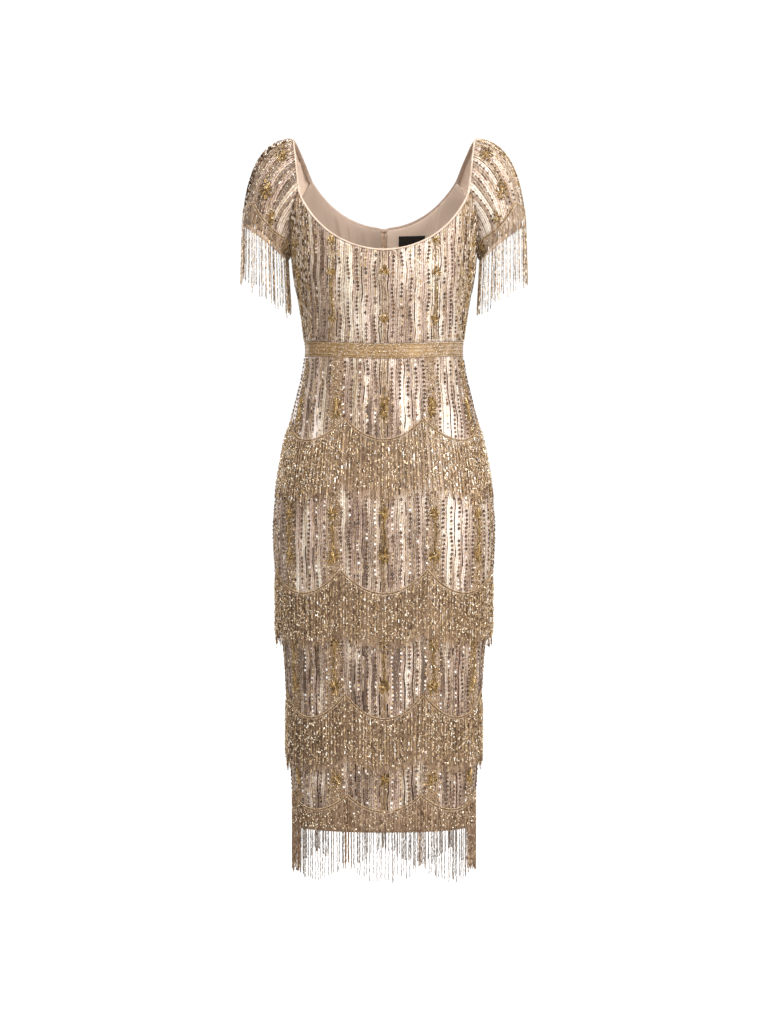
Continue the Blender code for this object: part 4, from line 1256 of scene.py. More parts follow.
def cord_batches(points, out, random):
    """Two rows of pale beads along a line of points, and a dark row sunk between them."""
    run = run_of(points)
    at = np.arange(CORD_STEP / 2, run[-1], CORD_STEP)
    place, facing = along_line(points, run, at), unit(along_line(out, run, at))
    along = unit(along_line(points, run, at + 1 * MM) - along_line(points, run, at - 1 * MM))
    across = np.cross(along, facing)
    batches = []
    for half, tip, tones, sunk in CORD_ROWS:
        tone, shade = picked(random, tones, len(at)), 0.3 + 0.7 * random.random(len(at))
        row, spin = place + across * half - facing * sunk, random.random(len(at)) * 3
        batches.append(sprinkle(SEED, row, along + across * tip, facing, CORD_SIZES, tone, shade, spin))
    print("cord", round(float(run[-1]), 3), "m long")
    return batches


for number, tier in enumerate(TIERS, 1):
    around = np.linspace(-1, 1, FINE)
    height = cord_height(around, tier)
    points, random = on_dress(around, height, CORD_LIFT), np.random.default_rng(200 + number)
    batches = cord_batches(points, out_of(around, height), random)
    node = f"tier_cord_{number}"
    bead_piece(f"cord_{number}", "skirt_front_cloth", batches, FRINGE_BEADS, "bead_cord", node)

# %% [markdown]
# ## Fringe
#
# A strand is a thread of mixed beads: slim bugles, small seed beads and now and then a bright one. It leaves
# the cord, lies on the cloth while the hips swell, and hangs straight once they draw in. Two layers of
# strands overlap so that hardly any net shows, no two strands are quite the same length, and bright beads sit
# among them at random, because each thread carries a few clear crystals that flash when the wearer moves. Their
# near-white colour is partly painted glint.

# %% Thread the strands
MOST_BEADS = 76
BEAD_GAP = 0.2 * MM
LONG_SHARE = 0.34
HEM_LONG_SHARE = 0.75
LONG_BEADS = (3.2, 5.0)
SHORT_BEADS = (1.8, 2.4)
TONE_VALUES = (0.02, 0.2, 0.34, 0.48, 0.62, 0.8, 0.97)
TONE_CHANCES = np.array((0.13, 0.18, 0.2, 0.19, 0.13, 0.11, 0.06))
STRAND_OFFSETS = (-0.12, -0.06, 0.0, 0.05)


def strand_heights(random, top, end, share=LONG_SHARE):
    """Middles and lengths of the beads down one strand, and which of them are bugles."""
    long = random.random(MOST_BEADS) < share
    long_ones, short_ones = (random.uniform(*ends, MOST_BEADS) for ends in (LONG_BEADS, SHORT_BEADS))
    lengths = np.where(long, long_ones, short_ones) * MM
    ends = np.cumsum(lengths + BEAD_GAP)
    count = min(int(np.searchsorted(ends, top - end)) + 1, MOST_BEADS)
    middles = top - (ends - lengths / 2 - BEAD_GAP)
    return middles[:count], lengths[:count], long[:count]


def hang(around, top, heights, lift):
    """Places of beads: on the cloth where it swells out, and straight below the cord where not."""
    hung, cloth = on_dress(around, top, lift), on_dress(around, heights, lift)
    farther = np.linalg.norm(hung[:, :2], axis=-1) > np.linalg.norm(cloth[:, :2], axis=-1)
    places = np.where(farther[:, None], hung, cloth)
    places[:, 2] = heights
    return places


def bead_strand(random, places, out, lengths, long, thick, lighter=0.0, spread=1.0):
    """Bugles and seed beads at these places, along the strand."""
    count = len(places)
    along = unit(np.gradient(places, axis=0)) if count > 1 else np.array([(0.0, 0.0, -1.0)])
    along = along + random.normal(0, 0.05, (count, 3))
    tone = random.choice(TONE_VALUES, count, p=TONE_CHANCES / sum(TONE_CHANCES))
    tone = (tone + random.choice(STRAND_OFFSETS)) * spread + lighter
    shade, spin = random.random(count), random.random(count) * 6
    found = []
    for shape, chosen, wide in ((THREAD_BUGLE, long, thick * 0.95), (CHIP, ~long, thick * 1.3)):
        where, sizes = (places[chosen], along[chosen], out[chosen]), (wide, lengths[chosen], wide)
        found.append(sprinkle(shape, *where, sizes, tone[chosen], shade[chosen], spin[chosen]))
    return found


# %% Say how the fringes hang
Thread = namedtuple("Thread", "lift spacing thick jitter shortest longest tone")
FULL_LAYERS = (
    Thread(1.4 * MM, 4.3 * MM, 2.0 * MM, 0.3, -6 * MM, 14 * MM, -0.14),
    Thread(3.0 * MM, 5.2 * MM, 2.0 * MM, 0.25, 2 * MM, 26 * MM, 0.12),
)
STRAND_BELOW_CORD = 2.4 * MM
HEM_LAYERS = (Thread(1.8 * MM, 4.6 * MM, 2.1 * MM, 0.25, -3 * MM, 6 * MM, 0.0),)
# The free ends of the hem are grey and the rest is brown, except in the bunches, which stay brown
HEM_TONES = (0.05, 0.6)
HEM_SPREAD = 0.36
HEM_SIDE = 0.14
HEM_CUSP = 0.01
# Painted light and shade about a place: how much lighter each of the four fringes is drawn there, and how much
# longer the first one is
Glow = namedtuple("Glow", "around wide amounts")
PAINTED_FRINGE_LIGHTS = (Glow(0.27, 0.13, (0.24, 0.05, -0.04, 0.0)), Glow(-0.32, 0.14, (0.06, -0.14, -0.2, -0.1)))
Drop = namedtuple("Drop", "around wide drop")
DROPS = (Drop(-0.34, 0.13, 13), Drop(0.36, 0.12, 6))
Bunch = namedtuple("Bunch", "around spread count")
CUSPS = (np.arange(-3, 4) - 0.5) * 2 / SCALLOPS
BUNCHES = [Bunch(cusp, 0.012, 6) for cusp in CUSPS] + [Bunch(side, 0.05, 18) for side in (-0.42, 0.42)]
print(len(BUNCHES), "bunches of extra strands at the hem")

# %% Thread a whole fringe


def near(around, row):
    return math.exp(-(((around - row.around) / row.wide) ** 2))


def girth_at(height):
    return 2 * float(quarter_length(height, True) + quarter_length(height, False))


def strand(random, number, tier, layer, around):
    """One strand of a fringe. The hem's ends and middles differ in tone."""
    at_hem = number == len(TIERS)
    top = float(cord_height(around, tier)) - STRAND_BELOW_CORD
    end = float(end_height(around, tier)) + random.uniform(layer.shortest, layer.longest)
    if number == 1:
        end -= sum(row.drop * MM * near(around, row) for row in DROPS)
    middles, lengths, long = strand_heights(random, top, end, HEM_LONG_SHARE if at_hem else LONG_SHARE)
    swayed = around + random.normal(0, 0.0012) * np.linspace(0, 1, len(middles)) ** 2
    places = hang(swayed, top, middles, layer.lift)
    if at_hem:
        bunched = abs(abs(around) - 0.5) < HEM_SIDE or np.abs(CUSPS - around).min() < HEM_CUSP
        tone, spread = np.where((middles < HEM) & (not bunched), *HEM_TONES), HEM_SPREAD
    else:
        # Painted light and shade: the fringes are drawn lighter on the key light's side and darker on the other
        painted_fringe_light = sum(row.amounts[number - 1] * near(around, row) for row in PAINTED_FRINGE_LIGHTS)
        patch = 0.07 * math.sin(around * 31 + number) + 0.05 * math.sin(around * 83)
        tone, spread = layer.tone + painted_fringe_light + patch, 1.0
    return bead_strand(random, places, out_of(swayed, middles), lengths, long, layer.thick, tone, spread)


def fringe(number, tier, layers):
    """The batches of a fringe's front and back halves."""
    random = np.random.default_rng(300 + number)
    halves = {"front": [], "back": []}
    for layer in layers:
        count = int(girth_at(tier.low) / layer.spacing)
        stray = random.uniform(-layer.jitter, layer.jitter, count)
        arounds = [-1 + 2 * (np.arange(count) + 0.5 + stray) / count]
        if number == len(TIERS):
            arounds += [random.normal(*bunch) for bunch in BUNCHES]
        for around in np.concatenate(arounds):
            halves["front" if abs(around) <= 0.5 else "back"] += strand(random, number, tier, layer, around)
    return halves


# %% Scatter the bright beads
SPARKLE_AREA = 42 * MM * MM
SPARKLE_LIFT = 4.3 * MM
HEM_SPARKLE_LIFT = 2.6 * MM
HEM_SPARKLE_SHARE = 0.45


def sparkles(number, tier, share, lift):
    """Bright beads at random over a fringe, by halves."""
    random = np.random.default_rng(400 + number)
    tall = (tier.cusp + tier.low - tier.end_cusp - tier.end_low) / 2
    count = int(girth_at(tier.low) * tall / SPARKLE_AREA * share)
    around = random.uniform(-1, 1, count)
    top = cord_height(around, tier) - 3 * MM
    end = np.maximum(end_height(around, tier) + 14 * MM, HEM + 4 * MM)
    height = end + (top - end) * random.random(count)
    places = hang(around, top, height, lift)
    size = random.uniform(1.4, 2.9, count) * MM
    tone, shade = picked(random, (0.5, 0.7, 0.85, 1.0), count), 0.5 + 0.5 * random.random(count)
    spin = random.random(count) * 6
    halves = {}
    for half, chosen in (("front", np.abs(around) <= 0.5), ("back", np.abs(around) > 0.5)):
        sizes = (size[chosen], size[chosen] * 1.1, size[chosen])
        along = random.normal(0, 0.12, (chosen.sum(), 3)) + np.array((0, 0, 1.0))
        where = (places[chosen], along, out_of(around[chosen], height[chosen]))
        halves[half] = sprinkle(CHIP, *where, sizes, tone[chosen], shade[chosen], spin[chosen])
    return halves


for number, tier in enumerate(TIERS, 1):
    layers, finish, share, lift = FULL_LAYERS, FRINGE_BEADS, 1.0, SPARKLE_LIFT
    if number == len(TIERS):
        layers, finish, share, lift = HEM_LAYERS, HEM_BEADS, HEM_SPARKLE_SHARE, HEM_SPARKLE_LIFT
    bright = sparkles(number, tier, share, lift)
    for half, batches in fringe(number, tier, layers).items():
        name, node = f"fringe_{number}_{half}", f"tier_fringe_{number}"
        bead_piece(name, "skirt_front_cloth", batches, finish, "bead_fringe", node)
        bead_piece(name + "_crystals", "skirt_front_cloth", [bright[half]], CRYSTALS_PAINTED_GLINT, "bead_fringe")

# %% [markdown]
# ## Waistband
#
# The waistband is a straight strip covered with level rows of tiny gold beads, with small patches of brighter
# beads where a spray of flowers crosses it. Rows of beads read as fine level lines, so each bead only needs a
# few facets.

# %% Finish of the strip under the beads
strip = Finish("waistband_strip", Roughness=0.5, Metallic=0.2)
level_rows = strip.times(strip.math("SINE", strip.times(strip.attribute("height"), 3300.0)), 0.5, 0.5)
tone = strip.times(strip.noise(strip.place(), 60.0, 3.0), 0.8, strip.times(level_rows, 0.4, -0.2))
strip.paint(strip.ramp(tone, [(0.1, srgb(128, 98, 62)), (0.9, srgb(190, 156, 108))]))
strip.bump(level_rows, 0.5, 0.3 * MM)

# %% Make the strip and its rows of beads
BAND_ROWS = 12
BAND_STEP = 1.95 * MM
BAND_LIFT = 0.7 * MM
BAND_PAINTED_LIGHT = 0.13
BAND_BEAD_LIFT = 1.0 * MM
BAND_BEAD_SIZES = (1.6 * MM, 2.1 * MM, 1.6 * MM)
BAND_TONES = (0.66, 0.52, 0.76)
Spray = namedtuple("Spray", "arc wide")
SPRAYS = (Spray(-66, 9), Spray(-25, 20), Spray(17, 8), Spray(86, 12))
BAND_PARTS = (("front", -0.5, 0.5), ("back_left", 0.5, 1.0), ("back_right", -1.0, -0.5))


def band_beads(random, first, last):
    """Level rows of beads. The sprays raise the beads, turn them about and brighten some of them."""
    count = int(2 * quarter_length(WAIST_MIDDLE, first == -0.5) * (last - first) / BAND_STEP)
    batches = []
    for row in range(BAND_ROWS):
        around = first + (last - first) * (np.arange(count) + 0.5 + random.uniform(-0.2, 0.2, count)) / count
        arc = around * 2 * float(quarter_length(WAIST_MIDDLE, True)) / MM
        spray = sum(np.exp(-(((arc - s.arc) / s.wide) ** 2)) for s in SPRAYS) * (np.abs(around) < 0.5)
        up = (row - (BAND_ROWS - 1) / 2) * (WAIST_HEIGHT - 2 * MM) / (BAND_ROWS - 1)
        height = waist_height(around) + up + spray * random.uniform(-0.7, 0.7, count) * MM
        places = on_dress(around, height, BAND_BEAD_LIFT + spray * 0.5 * MM)
        ahead = on_dress(around + 0.002, height, BAND_BEAD_LIFT) - on_dress(around, height, BAND_BEAD_LIFT)
        along = unit(ahead) + random.normal(0, 1, (count, 3)) * (0.05 + 0.7 * spray[:, None])
        tone = BAND_TONES[row % 3] + random.uniform(-0.18, 0.18, count)
        # Painted light: the beads are drawn lighter on the wearer's left half, where the key light falls, and
        # darker on the right
        tone = tone + BAND_PAINTED_LIGHT * np.sin(math.pi * around) - 0.06 * spray
        tone = np.where(random.random(count) < 0.05 + 0.16 * spray, 0.95, tone)
        shade, spin, out = random.random(count), random.random(count) * 6, out_of(around, height)
        batches.append(sprinkle(CHIP, places, along, out, BAND_BEAD_SIZES, tone, shade, spin))
    return batches


for seed, (part, first, last) in enumerate(BAND_PARTS, 500):
    node = "waistband_" + part
    around = np.linspace(first, last, 96 if part == "front" else 48)
    up = np.linspace(-0.5, 0.5, 7)[:, None] * (WAIST_HEIGHT - 0.4 * MM)
    heights = waist_height(around) + up
    grid = on_dress(around, heights, BAND_LIFT * (1 - (up / (WAIST_HEIGHT * 0.55)) ** 4))
    looks = {"numbers": {"height": heights}, "thickness": 1.6 * MM, "inside": LINING_CLOTH}
    cloth_sheet(node + "_strip", grid, strip.material, "waistband_beads", node, **looks)
    beads = band_beads(np.random.default_rng(seed), first, last)
    bead_piece(node + "_beads", node + "_strip", beads, SEWN_BEADS, "waistband_beads")

# %% [markdown]
# ## Sleeves
#
# A cap sleeve is a curved cap of cloth that leaves the shoulder outwards and turns down over the arm. Its
# upright lines are smooth curves: each starts at the armhole or the neck, and the two pulls say how it leaves
# and how it hangs. The columns of the beading run down the same lines. One table of points serves both
# sleeves, because the right one is the left one turned over.

# %% Repeat the sleeve's lines
# The edge over the shoulder in mm, from front to back: how far to the side, how deep and how high
SHOULDER_EDGE = ((133.5, -51, -58), (136.5, -38, -29), (140, -17, -6), (141, 0, 0), (137, 17, -5))
SHOULDER_EDGE += ((130, 38, -19), (122, 55, -37))
SHOULDER_TOP = 3
CUFF_CENTRE = np.array((184, 0, -160)) * MM
CUFF_OUTER = np.array((218, 0, -132)) * MM
CUFF_HALF_DEPTH = 58 * MM
CUFF_ARCH = 7 * MM
Pull = namedtuple("Pull", "out forward down")
LEAVES_OVER = Pull(1.14, 0.30, 0.03)
LEAVES_UNDER = Pull(0.55, 0.30, 0.82)
HANGS_OVER = Pull(0.10, 0.0, 1.23)
HANGS_UNDER = Pull(-0.13, 0.0, 0.93)
SLEEVE_TURNS = 193
SLEEVE_UPS = 61


def armhole_points(rows, in_front):
    return [on_dress(around_at(row.side * MM, row.height * MM, in_front), row.height * MM) for row in rows]


def pulls(over, under, turns):
    share = (1 - np.cos(turns)) / 2
    out, forward, down = (a + share * (b - a) for a, b in zip(over, under))
    return np.stack([out, -forward * np.sin(turns), -down], 1)


front_edge = [on_dress(0.5, UNDERARM), *armhole_points(FRONT_ARMHOLE, True)]
back_edge = armhole_points(BACK_ARMHOLE, False)[::-1]
RIM = np.array([*front_edge, *(np.array(SHOULDER_EDGE) * MM), *back_edge, front_edge[0]])
rim_run = run_of(RIM)
top = len(front_edge) + SHOULDER_TOP
before = math.pi * (1 - rim_run / rim_run[top])
behind = -math.pi * (rim_run - rim_run[top]) / (rim_run[-1] - rim_run[top])
RIM_TURNS = np.where(np.arange(len(RIM)) <= top, before, behind)
turns = np.linspace(-math.pi, math.pi, SLEEVE_TURNS)
starts = through(RIM[::-1], RIM_TURNS[::-1], turns)
cuffs = CUFF_CENTRE + (CUFF_OUTER - CUFF_CENTRE) * np.cos(turns)[:, None]
cuffs = cuffs + np.stack([0 * turns, -CUFF_HALF_DEPTH * np.sin(turns), CUFF_ARCH * np.sin(turns) ** 2], 1)
SLEEVE_LENGTHS = np.linalg.norm(cuffs - starts, axis=1)
leave = pulls(LEAVES_OVER, LEAVES_UNDER, turns) * SLEEVE_LENGTHS[:, None]
hanging = pulls(HANGS_OVER, HANGS_UNDER, turns) * SLEEVE_LENGTHS[:, None]
# The table runs up the sleeve, and the curves run down it
SLEEVE = smooth_between(1 - np.linspace(0, 1, SLEEVE_UPS)[:, None, None], 1, starts, cuffs, leave, hanging)
round_steps = np.gradient(SLEEVE, axis=1)
round_steps[:, 0] = round_steps[:, -1] = SLEEVE[:, 1] - SLEEVE[:, -2]
SLEEVE_OUT = unit(np.cross(np.gradient(SLEEVE, axis=0), round_steps))
print("sleeve faces out by", np.round(SLEEVE_OUT[SLEEVE_UPS // 2, SLEEVE_TURNS // 2], 2))

# %% Find places on a sleeve
SLEEVE_SCALLOPS = 360 / 105
SLEEVE_CORD_LOW = 16 * MM
SLEEVE_CORD_CUSP = 30 * MM
SLEEVE_CORD_MOST = 0.58


def read_sleeve(table, turn, up):
    turn, up = np.broadcast_arrays(np.asarray(turn, float), np.asarray(up, float))
    column = ((turn + math.pi) % (2 * math.pi)) / (2 * math.pi) * (SLEEVE_TURNS - 1)
    return between_entries(table, column, np.clip(up, 0, 1) * (SLEEVE_UPS - 1))


def on_sleeve(side, turn, up, lift=0.0):
    """Points on a sleeve and the directions that face out of it. side is 1 for the left, -1 for the right."""
    out = unit(read_sleeve(SLEEVE_OUT, turn, up))
    points = read_sleeve(SLEEVE, turn, up) + out * np.asarray(lift, float)[..., None]
    turned_over = np.array((side, 1, 1))
    return points * turned_over, out * turned_over


def one_turn(turn):
    return (np.asarray(turn) + math.pi) % (2 * math.pi) - math.pi


def sleeve_length(turn):
    return np.interp(one_turn(turn), turns, SLEEVE_LENGTHS)


def cord_up(turn):
    """How far up a line of the sleeve the scalloped cord lies."""
    turn = one_turn(turn)
    above = scallop_height(turn / math.pi, SLEEVE_CORD_CUSP, SLEEVE_CORD_LOW, SLEEVE_SCALLOPS)
    return np.minimum(above / sleeve_length(turn), SLEEVE_CORD_MOST)


# %% Make the sleeves' cloth
SLEEVE_COLUMNS = 48
SLEEVE_SHIFT = 6
SLEEVE_TRIM = 0.5 * MM
SLEEVE_SLANT = 0.72
# Painted highlights on the sleeves, and painted light and shade by side: the left sleeve drawn a little
# lighter, the right one darker
SLEEVE_PAINTED_HIGHLIGHTS = (Shine(14, 0.55, 1.5, 0.2, 0.35), Shine(9, 0.35, 1.6, 0.2, 0.25))
SLEEVE_PAINTED_HIGHLIGHTS += (Shine(3, 0.6, 1.5, 0.25, 0.2),)
SLEEVE_SIDE_PAINTED_LIGHT = {1: 0.08, -1: -0.22}
SIDES = {"left": 1, "right": -1}


def column_turn(column, up=0.0):
    """Where a column passes. It starts nearer the shoulder's top than it ends, so that it hangs steeply."""
    turn = 2 * math.pi * (np.asarray(column, float) + SLEEVE_SHIFT) / SLEEVE_COLUMNS
    return turn - SLEEVE_SLANT * np.asarray(up, float) * np.sin(turn)


def sleeve_painted_light_and_tone(side, column, up):
    # Painted light and shade by side, a soft wave of tone, and then the painted highlights
    shine = SLEEVE_SIDE_PAINTED_LIGHT[side] + 0.1 * np.sin(column * 1.1) * np.sin(up * 5)
    for row in SLEEVE_PAINTED_HIGHLIGHTS:
        away = ((column - row.column + 24) % 48 - 24) / row.wide
        shine = shine + row.amount * np.exp(-(away**2) - ((up - row.height) / row.tall) ** 2)
    return shine


for name, side in SIDES.items():
    columns = np.arange(0, SLEEVE_COLUMNS, 0.5)
    ups = np.linspace(0, 1, 17)[:, None] * (1 - SLEEVE_TRIM / sleeve_length(column_turn(columns, 1.0)))
    turn = column_turn(columns, ups)
    grid, _ = on_sleeve(side, turn, ups, band_lift(columns))
    numbers = {
        "column": columns,
        "height": ups * 0.1,
        "bare": 0.5 * smooth_step((cord_up(turn) - ups) / 0.04),
        "shine": sleeve_painted_light_and_tone(side, columns, ups),
    }
    looks = {"flip": side > 0, "closed": True, "numbers": numbers, "inside": SLEEVE_LINING_PAINTED_LIGHT}
    cloth_sheet(f"sleeve_{name}_cloth", grid, SATIN, "beaded_cloth", f"sleeve_{name}", **looks)

# %% Bead the sleeves
SLEEVE_STEP = 0.01
SLEEVE_GLITTER = (0.25, 0.4, 0.55, 0.7, 0.84, 1.0)
SLEEVE_PALE = (0.5, 0.7, 0.86)
EDGE_COLUMNS = 37.5 + np.arange(10)
EDGE_DARK_COLUMNS = (39.5, 44.5)
EDGE_TONES = {1: (0.5, 0.66, 0.8, 0.9), -1: (0.0, 0.06, 0.2, 0.9)}


def sleeve_lay(shape, side, column, ups, rise, sizes, tone, shade, spin=0.0):
    lift = band_lift(column) + rise
    places, out = on_sleeve(side, column_turn(column, ups), ups, lift)
    above, _ = on_sleeve(side, column_turn(column, ups + SLEEVE_STEP), ups + SLEEVE_STEP, lift)
    below, _ = on_sleeve(side, column_turn(column, ups - SLEEVE_STEP), ups - SLEEVE_STEP, lift)
    return sprinkle(shape, places, above - below, out, [size * MM for size in sizes], tone, shade, spin)


def sleeve_ups(random, column, spacing):
    """Places up a column of the sleeve, from the cord to the upper edge."""
    length = float(sleeve_length(column_turn(column, 0.6)))
    low, high = float(cord_up(column_turn(column))) + 3.5 * MM / length, 1 - 2.5 * MM / length
    count = max(int((high - low) * length / spacing), 0)
    return low + (high - low) * (np.arange(count) + 0.5 + random.uniform(-0.12, 0.12, count)) / max(count, 1)


def sleeve_line(random, shape, side, column, spacing, rise, sizes, tones, spun=6):
    """Beads of one shape up a column of the sleeve, each turned about its thread by chance."""
    ups = sleeve_ups(random, column, spacing)
    tone, shade = picked(random, tones, len(ups)), random.random(len(ups))
    spin = random.random(len(ups)) * spun if spun else 0.0
    return sleeve_lay(shape, side, column, ups, rise, sizes, tone, shade, spin)


def bead_sleeve(side, seed):
    random = np.random.default_rng(seed)
    batches = []
    for column in range(SLEEVE_COLUMNS):
        kind = min(column % REPEAT, REPEAT - column % REPEAT)
        if kind in (2, 4, 6):
            ups = sleeve_ups(random, column, 5.6 * MM)
            on = runs_on(random, len(ups), 0.22, 0.34)
            for chosen, tones, size in ((ups[on], DARK_TONES, 3.5), (ups[~on], SLEEVE_PALE, 2.4)):
                tone, shade = picked(random, tones, len(chosen)), 0.5 + 0.5 * random.random(len(chosen))
                sizes = (size,) * 3
                batches.append(sleeve_lay(SEQUIN, side, column, chosen, SEQUIN_LIFT, sizes, tone, shade))
        else:
            shape, long, spacing = (SLIM_BUGLE, 4.8, 5.2 * MM) if kind in (1, 5) else (CHIP, 1.9, 2.5 * MM)
            line = (spacing, 0.6 * MM, (1.5, long, 1.5), LINE_TONES if kind else GOLD_TONES)
            batches.append(sleeve_line(random, shape, side, column, *line))
        line = (3.0 * MM, 0.5 * MM, (1.5, 1.8, 1.5), SLEEVE_GLITTER)
        batches.append(sleeve_line(random, CHIP, side, column + 0.5, *line))
    for column in EDGE_COLUMNS:
        tones = DARK_TONES if side > 0 and column in EDGE_DARK_COLUMNS else EDGE_TONES[side]
        line = (3.4 * MM, 0.8 * MM, (1.7, 3.0, 1.7), tones, 0)
        batches.append(sleeve_line(random, SLIM_BUGLE, side, column, *line))
    return batches


# %% Add the sleeves' flowers and cords
SleeveFlower = namedtuple("SleeveFlower", "turn up rays reach")
SLEEVE_FLOWERS = (
    *(SleeveFlower(34, 0.86, 13, 10), SleeveFlower(62, 0.5, 13, 11)),
    *(SleeveFlower(96, 0.36, 9, 8), SleeveFlower(150, 0.5, 9, 8)),
)
SLEEVE_LEAVES = 60
SLEEVE_RADIUS = 52 * MM


def sleeve_flower(random, side, flower, facing):
    turn = math.radians(flower.turn) * facing
    length = float(sleeve_length(turn))
    rows = flower_beads(random, Flower(0, 0, 360, flower.rays, flower.reach), 1.0)
    at, up = turn + rows[:, 0] / SLEEVE_RADIUS, flower.up + rows[:, 1] / length
    places, out = on_sleeve(side, at, up, 1.8 * MM)
    rays = flower_rays(random, rows, places, on_sleeve(side, at, up + SLEEVE_STEP, 1.8 * MM)[0], out)
    across, up, size, tone, spin = halo_beads(random, flower.reach)
    places, out = on_sleeve(side, turn + across / SLEEVE_RADIUS, flower.up + up / length, 1.3 * MM)
    sizes, shade = (size, size * 1.3, size), random.random(HALO_BEADS)
    return [rays, sprinkle(CHIP, places, (0, 0, 1), out, sizes, tone, shade, spin)]


def sleeve_leaves(random, side, facing):
    """Loose beads like a stem between the two upper flowers."""
    top, foot = SLEEVE_FLOWERS[:2]
    share = random.random(SLEEVE_LEAVES)
    turn = np.radians(top.turn + share * (foot.turn - top.turn)) * facing
    turn = turn + random.normal(0, 0.07, SLEEVE_LEAVES)
    tone, shade = picked(random, (*GOLD_TONES, 0.8, 1.0), SLEEVE_LEAVES), random.random(SLEEVE_LEAVES)
    places, out = on_sleeve(side, turn, top.up + share * (foot.up - top.up), 1.2 * MM)
    along = random.normal(0, 1, (SLEEVE_LEAVES, 3))
    return sprinkle(SEED, places, along, out, (1.8 * MM, 2.8 * MM, 1.8 * MM), tone, shade)


for seed, (name, side) in enumerate(SIDES.items()):
    cloth = f"sleeve_{name}_cloth"
    bead_piece(f"sleeve_{name}_beads", cloth, bead_sleeve(side, 600 + seed), SEWN_BEADS)
    random, gold = np.random.default_rng(610 + seed), []
    for flower in SLEEVE_FLOWERS:
        # The same flowers are sewn in front and behind
        for facing in (1, -1):
            gold += sleeve_flower(random, side, flower, facing)
    gold += [sleeve_leaves(random, side, facing) for facing in (1, -1)]
    bead_piece(f"sleeve_{name}_gold_flowers", cloth, gold, GOLD_BEADS)
    turn = np.linspace(-math.pi, math.pi, 700)
    points, out = on_sleeve(side, turn, cord_up(turn), CORD_LIFT)
    batches = cord_batches(points, out, np.random.default_rng(620 + seed))
    bead_piece(f"sleeve_{name}_cord", cloth, batches, FRINGE_BEADS, "bead_cord", f"sleeve_cord_{name}")

# %% Hang the sleeves' fringe
SLEEVE_STRANDS = 40
SLEEVE_STRAND_LIFT = 1.8 * MM
SLEEVE_STRAND_TONES = (-0.3, -0.1, 0.2, 0.5)
SLEEVE_FRINGE_BELOW_HEM = 88 * MM
SLEEVE_FRINGE_LOWEST = -266 * MM
SLEEVE_FRINGE_FLARE = 2 * MM
SLEEVE_FRINGE_LEAN = 4 * MM
StrandGroup = namedtuple("StrandGroup", "turn spread count")
STRAND_GROUPS = (StrandGroup(12, 10, 7), StrandGroup(100, 6, 5), StrandGroup(160, 12, 12))


def sleeve_strand(side, turn, longer):
    """The line of one strand: on the cloth from the cord to the hem, and straight down from there."""
    cloth, out = on_sleeve(side, turn, np.linspace(float(cord_up(turn)) - 0.03, 0, 8), SLEEVE_STRAND_LIFT)
    under = (1 - math.cos(turn)) / 2
    end = cloth[-1].copy()
    end[0] += side * (SLEEVE_FRINGE_FLARE * (1 - under) - SLEEVE_FRINGE_LEAN * under)
    end[2] = max(end[2] - SLEEVE_FRINGE_BELOW_HEM, SLEEVE_FRINGE_LOWEST) + longer
    return np.array([*cloth, end]), np.array([*out, unit(out[-1] * np.array((1, 1, 0)))])


def sleeve_fringe(side, seed):
    random = np.random.default_rng(seed)
    even = (np.arange(SLEEVE_STRANDS) + 0.5 + random.uniform(-0.35, 0.35, SLEEVE_STRANDS)) / SLEEVE_STRANDS
    strands = [2 * math.pi * even - math.pi]
    for group in STRAND_GROUPS:
        for facing in (1, -1):
            strands.append(np.radians(facing * group.turn + random.normal(0, group.spread, group.count)))
    batches = []
    for turn in one_turn(np.concatenate(strands)):
        line, out = sleeve_strand(side, float(turn), random.uniform(-6, 12) * MM)
        run = run_of(line)
        middles, lengths, long = strand_heights(random, 0.0, -run[-1])
        places, facing = along_line(line, run, -middles), unit(along_line(out, run, -middles))
        places[:, 0] += random.normal(0, 0.6) * MM * np.linspace(0, 1, len(places))
        lighter = random.choice(SLEEVE_STRAND_TONES)
        batches += bead_strand(random, places, facing, lengths, long, 1.5 * MM, lighter)
    return batches


for seed, (name, side) in enumerate(SIDES.items(), 650):
    names = f"sleeve_{name}_fringe", f"sleeve_{name}_cloth"
    bead_piece(*names, sleeve_fringe(side, seed), FRINGE_BEADS, "bead_fringe", f"sleeve_fringe_{name}")

# %% [markdown]
# ## Lining
#
# The lining is plain nude cloth that hangs loosely inside the back, caught at the neck and the zip, so it
# falls in soft upright folds. Its grid follows the inside of the back, and sums of slow waves, different on
# each side, push it in and out more towards the waist than at the neck, where it is sewn. A few narrow soft
# creases start at the neck itself.

# %% Hang the lining
LINING_DEPTH = 3.2 * MM
LINING_FROM_ZIP = 4.5 * MM
LINING_THICKNESS = 0.7 * MM
LINING_FOLD = 4.6 * MM
LINING_OVERLAP = 2.4 * MM
LABEL_COLUMNS = 13
# Where a crease starts, how far it leans for every 10 mm down, and how wide and how deep it is
Crease = namedtuple("Crease", "column lean wide depth")
CREASES = {
    1: (Crease(11.8, -0.3, 0.4, 2.3), Crease(13.0, -0.3, 0.35, 2.1), Crease(14.7, -0.35, 0.5, 2.2)),
    -1: (
        *(Crease(4.6, -0.1, 0.7, 1.5), Crease(8.6, -0.2, 0.5, 1.9)),
        *(Crease(11.6, -0.3, 0.6, 2.1), Crease(14.8, -0.3, 0.5, 1.7)),
    ),
}


def folds(column, height, side):
    """How far the lining falls inwards from the cloth. The label, on the wearer's left, holds it flat."""
    slow = np.sin(column * 0.52 + side + height / (90 * MM)) + 0.8 * np.sin(column * 1.23 - 2 * side)
    held = 0.75 * smooth_step((LABEL_COLUMNS - column) / 3) if side > 0 else 0
    return LINING_FOLD * (0.5 + 0.27 * slow) * (1 - held)


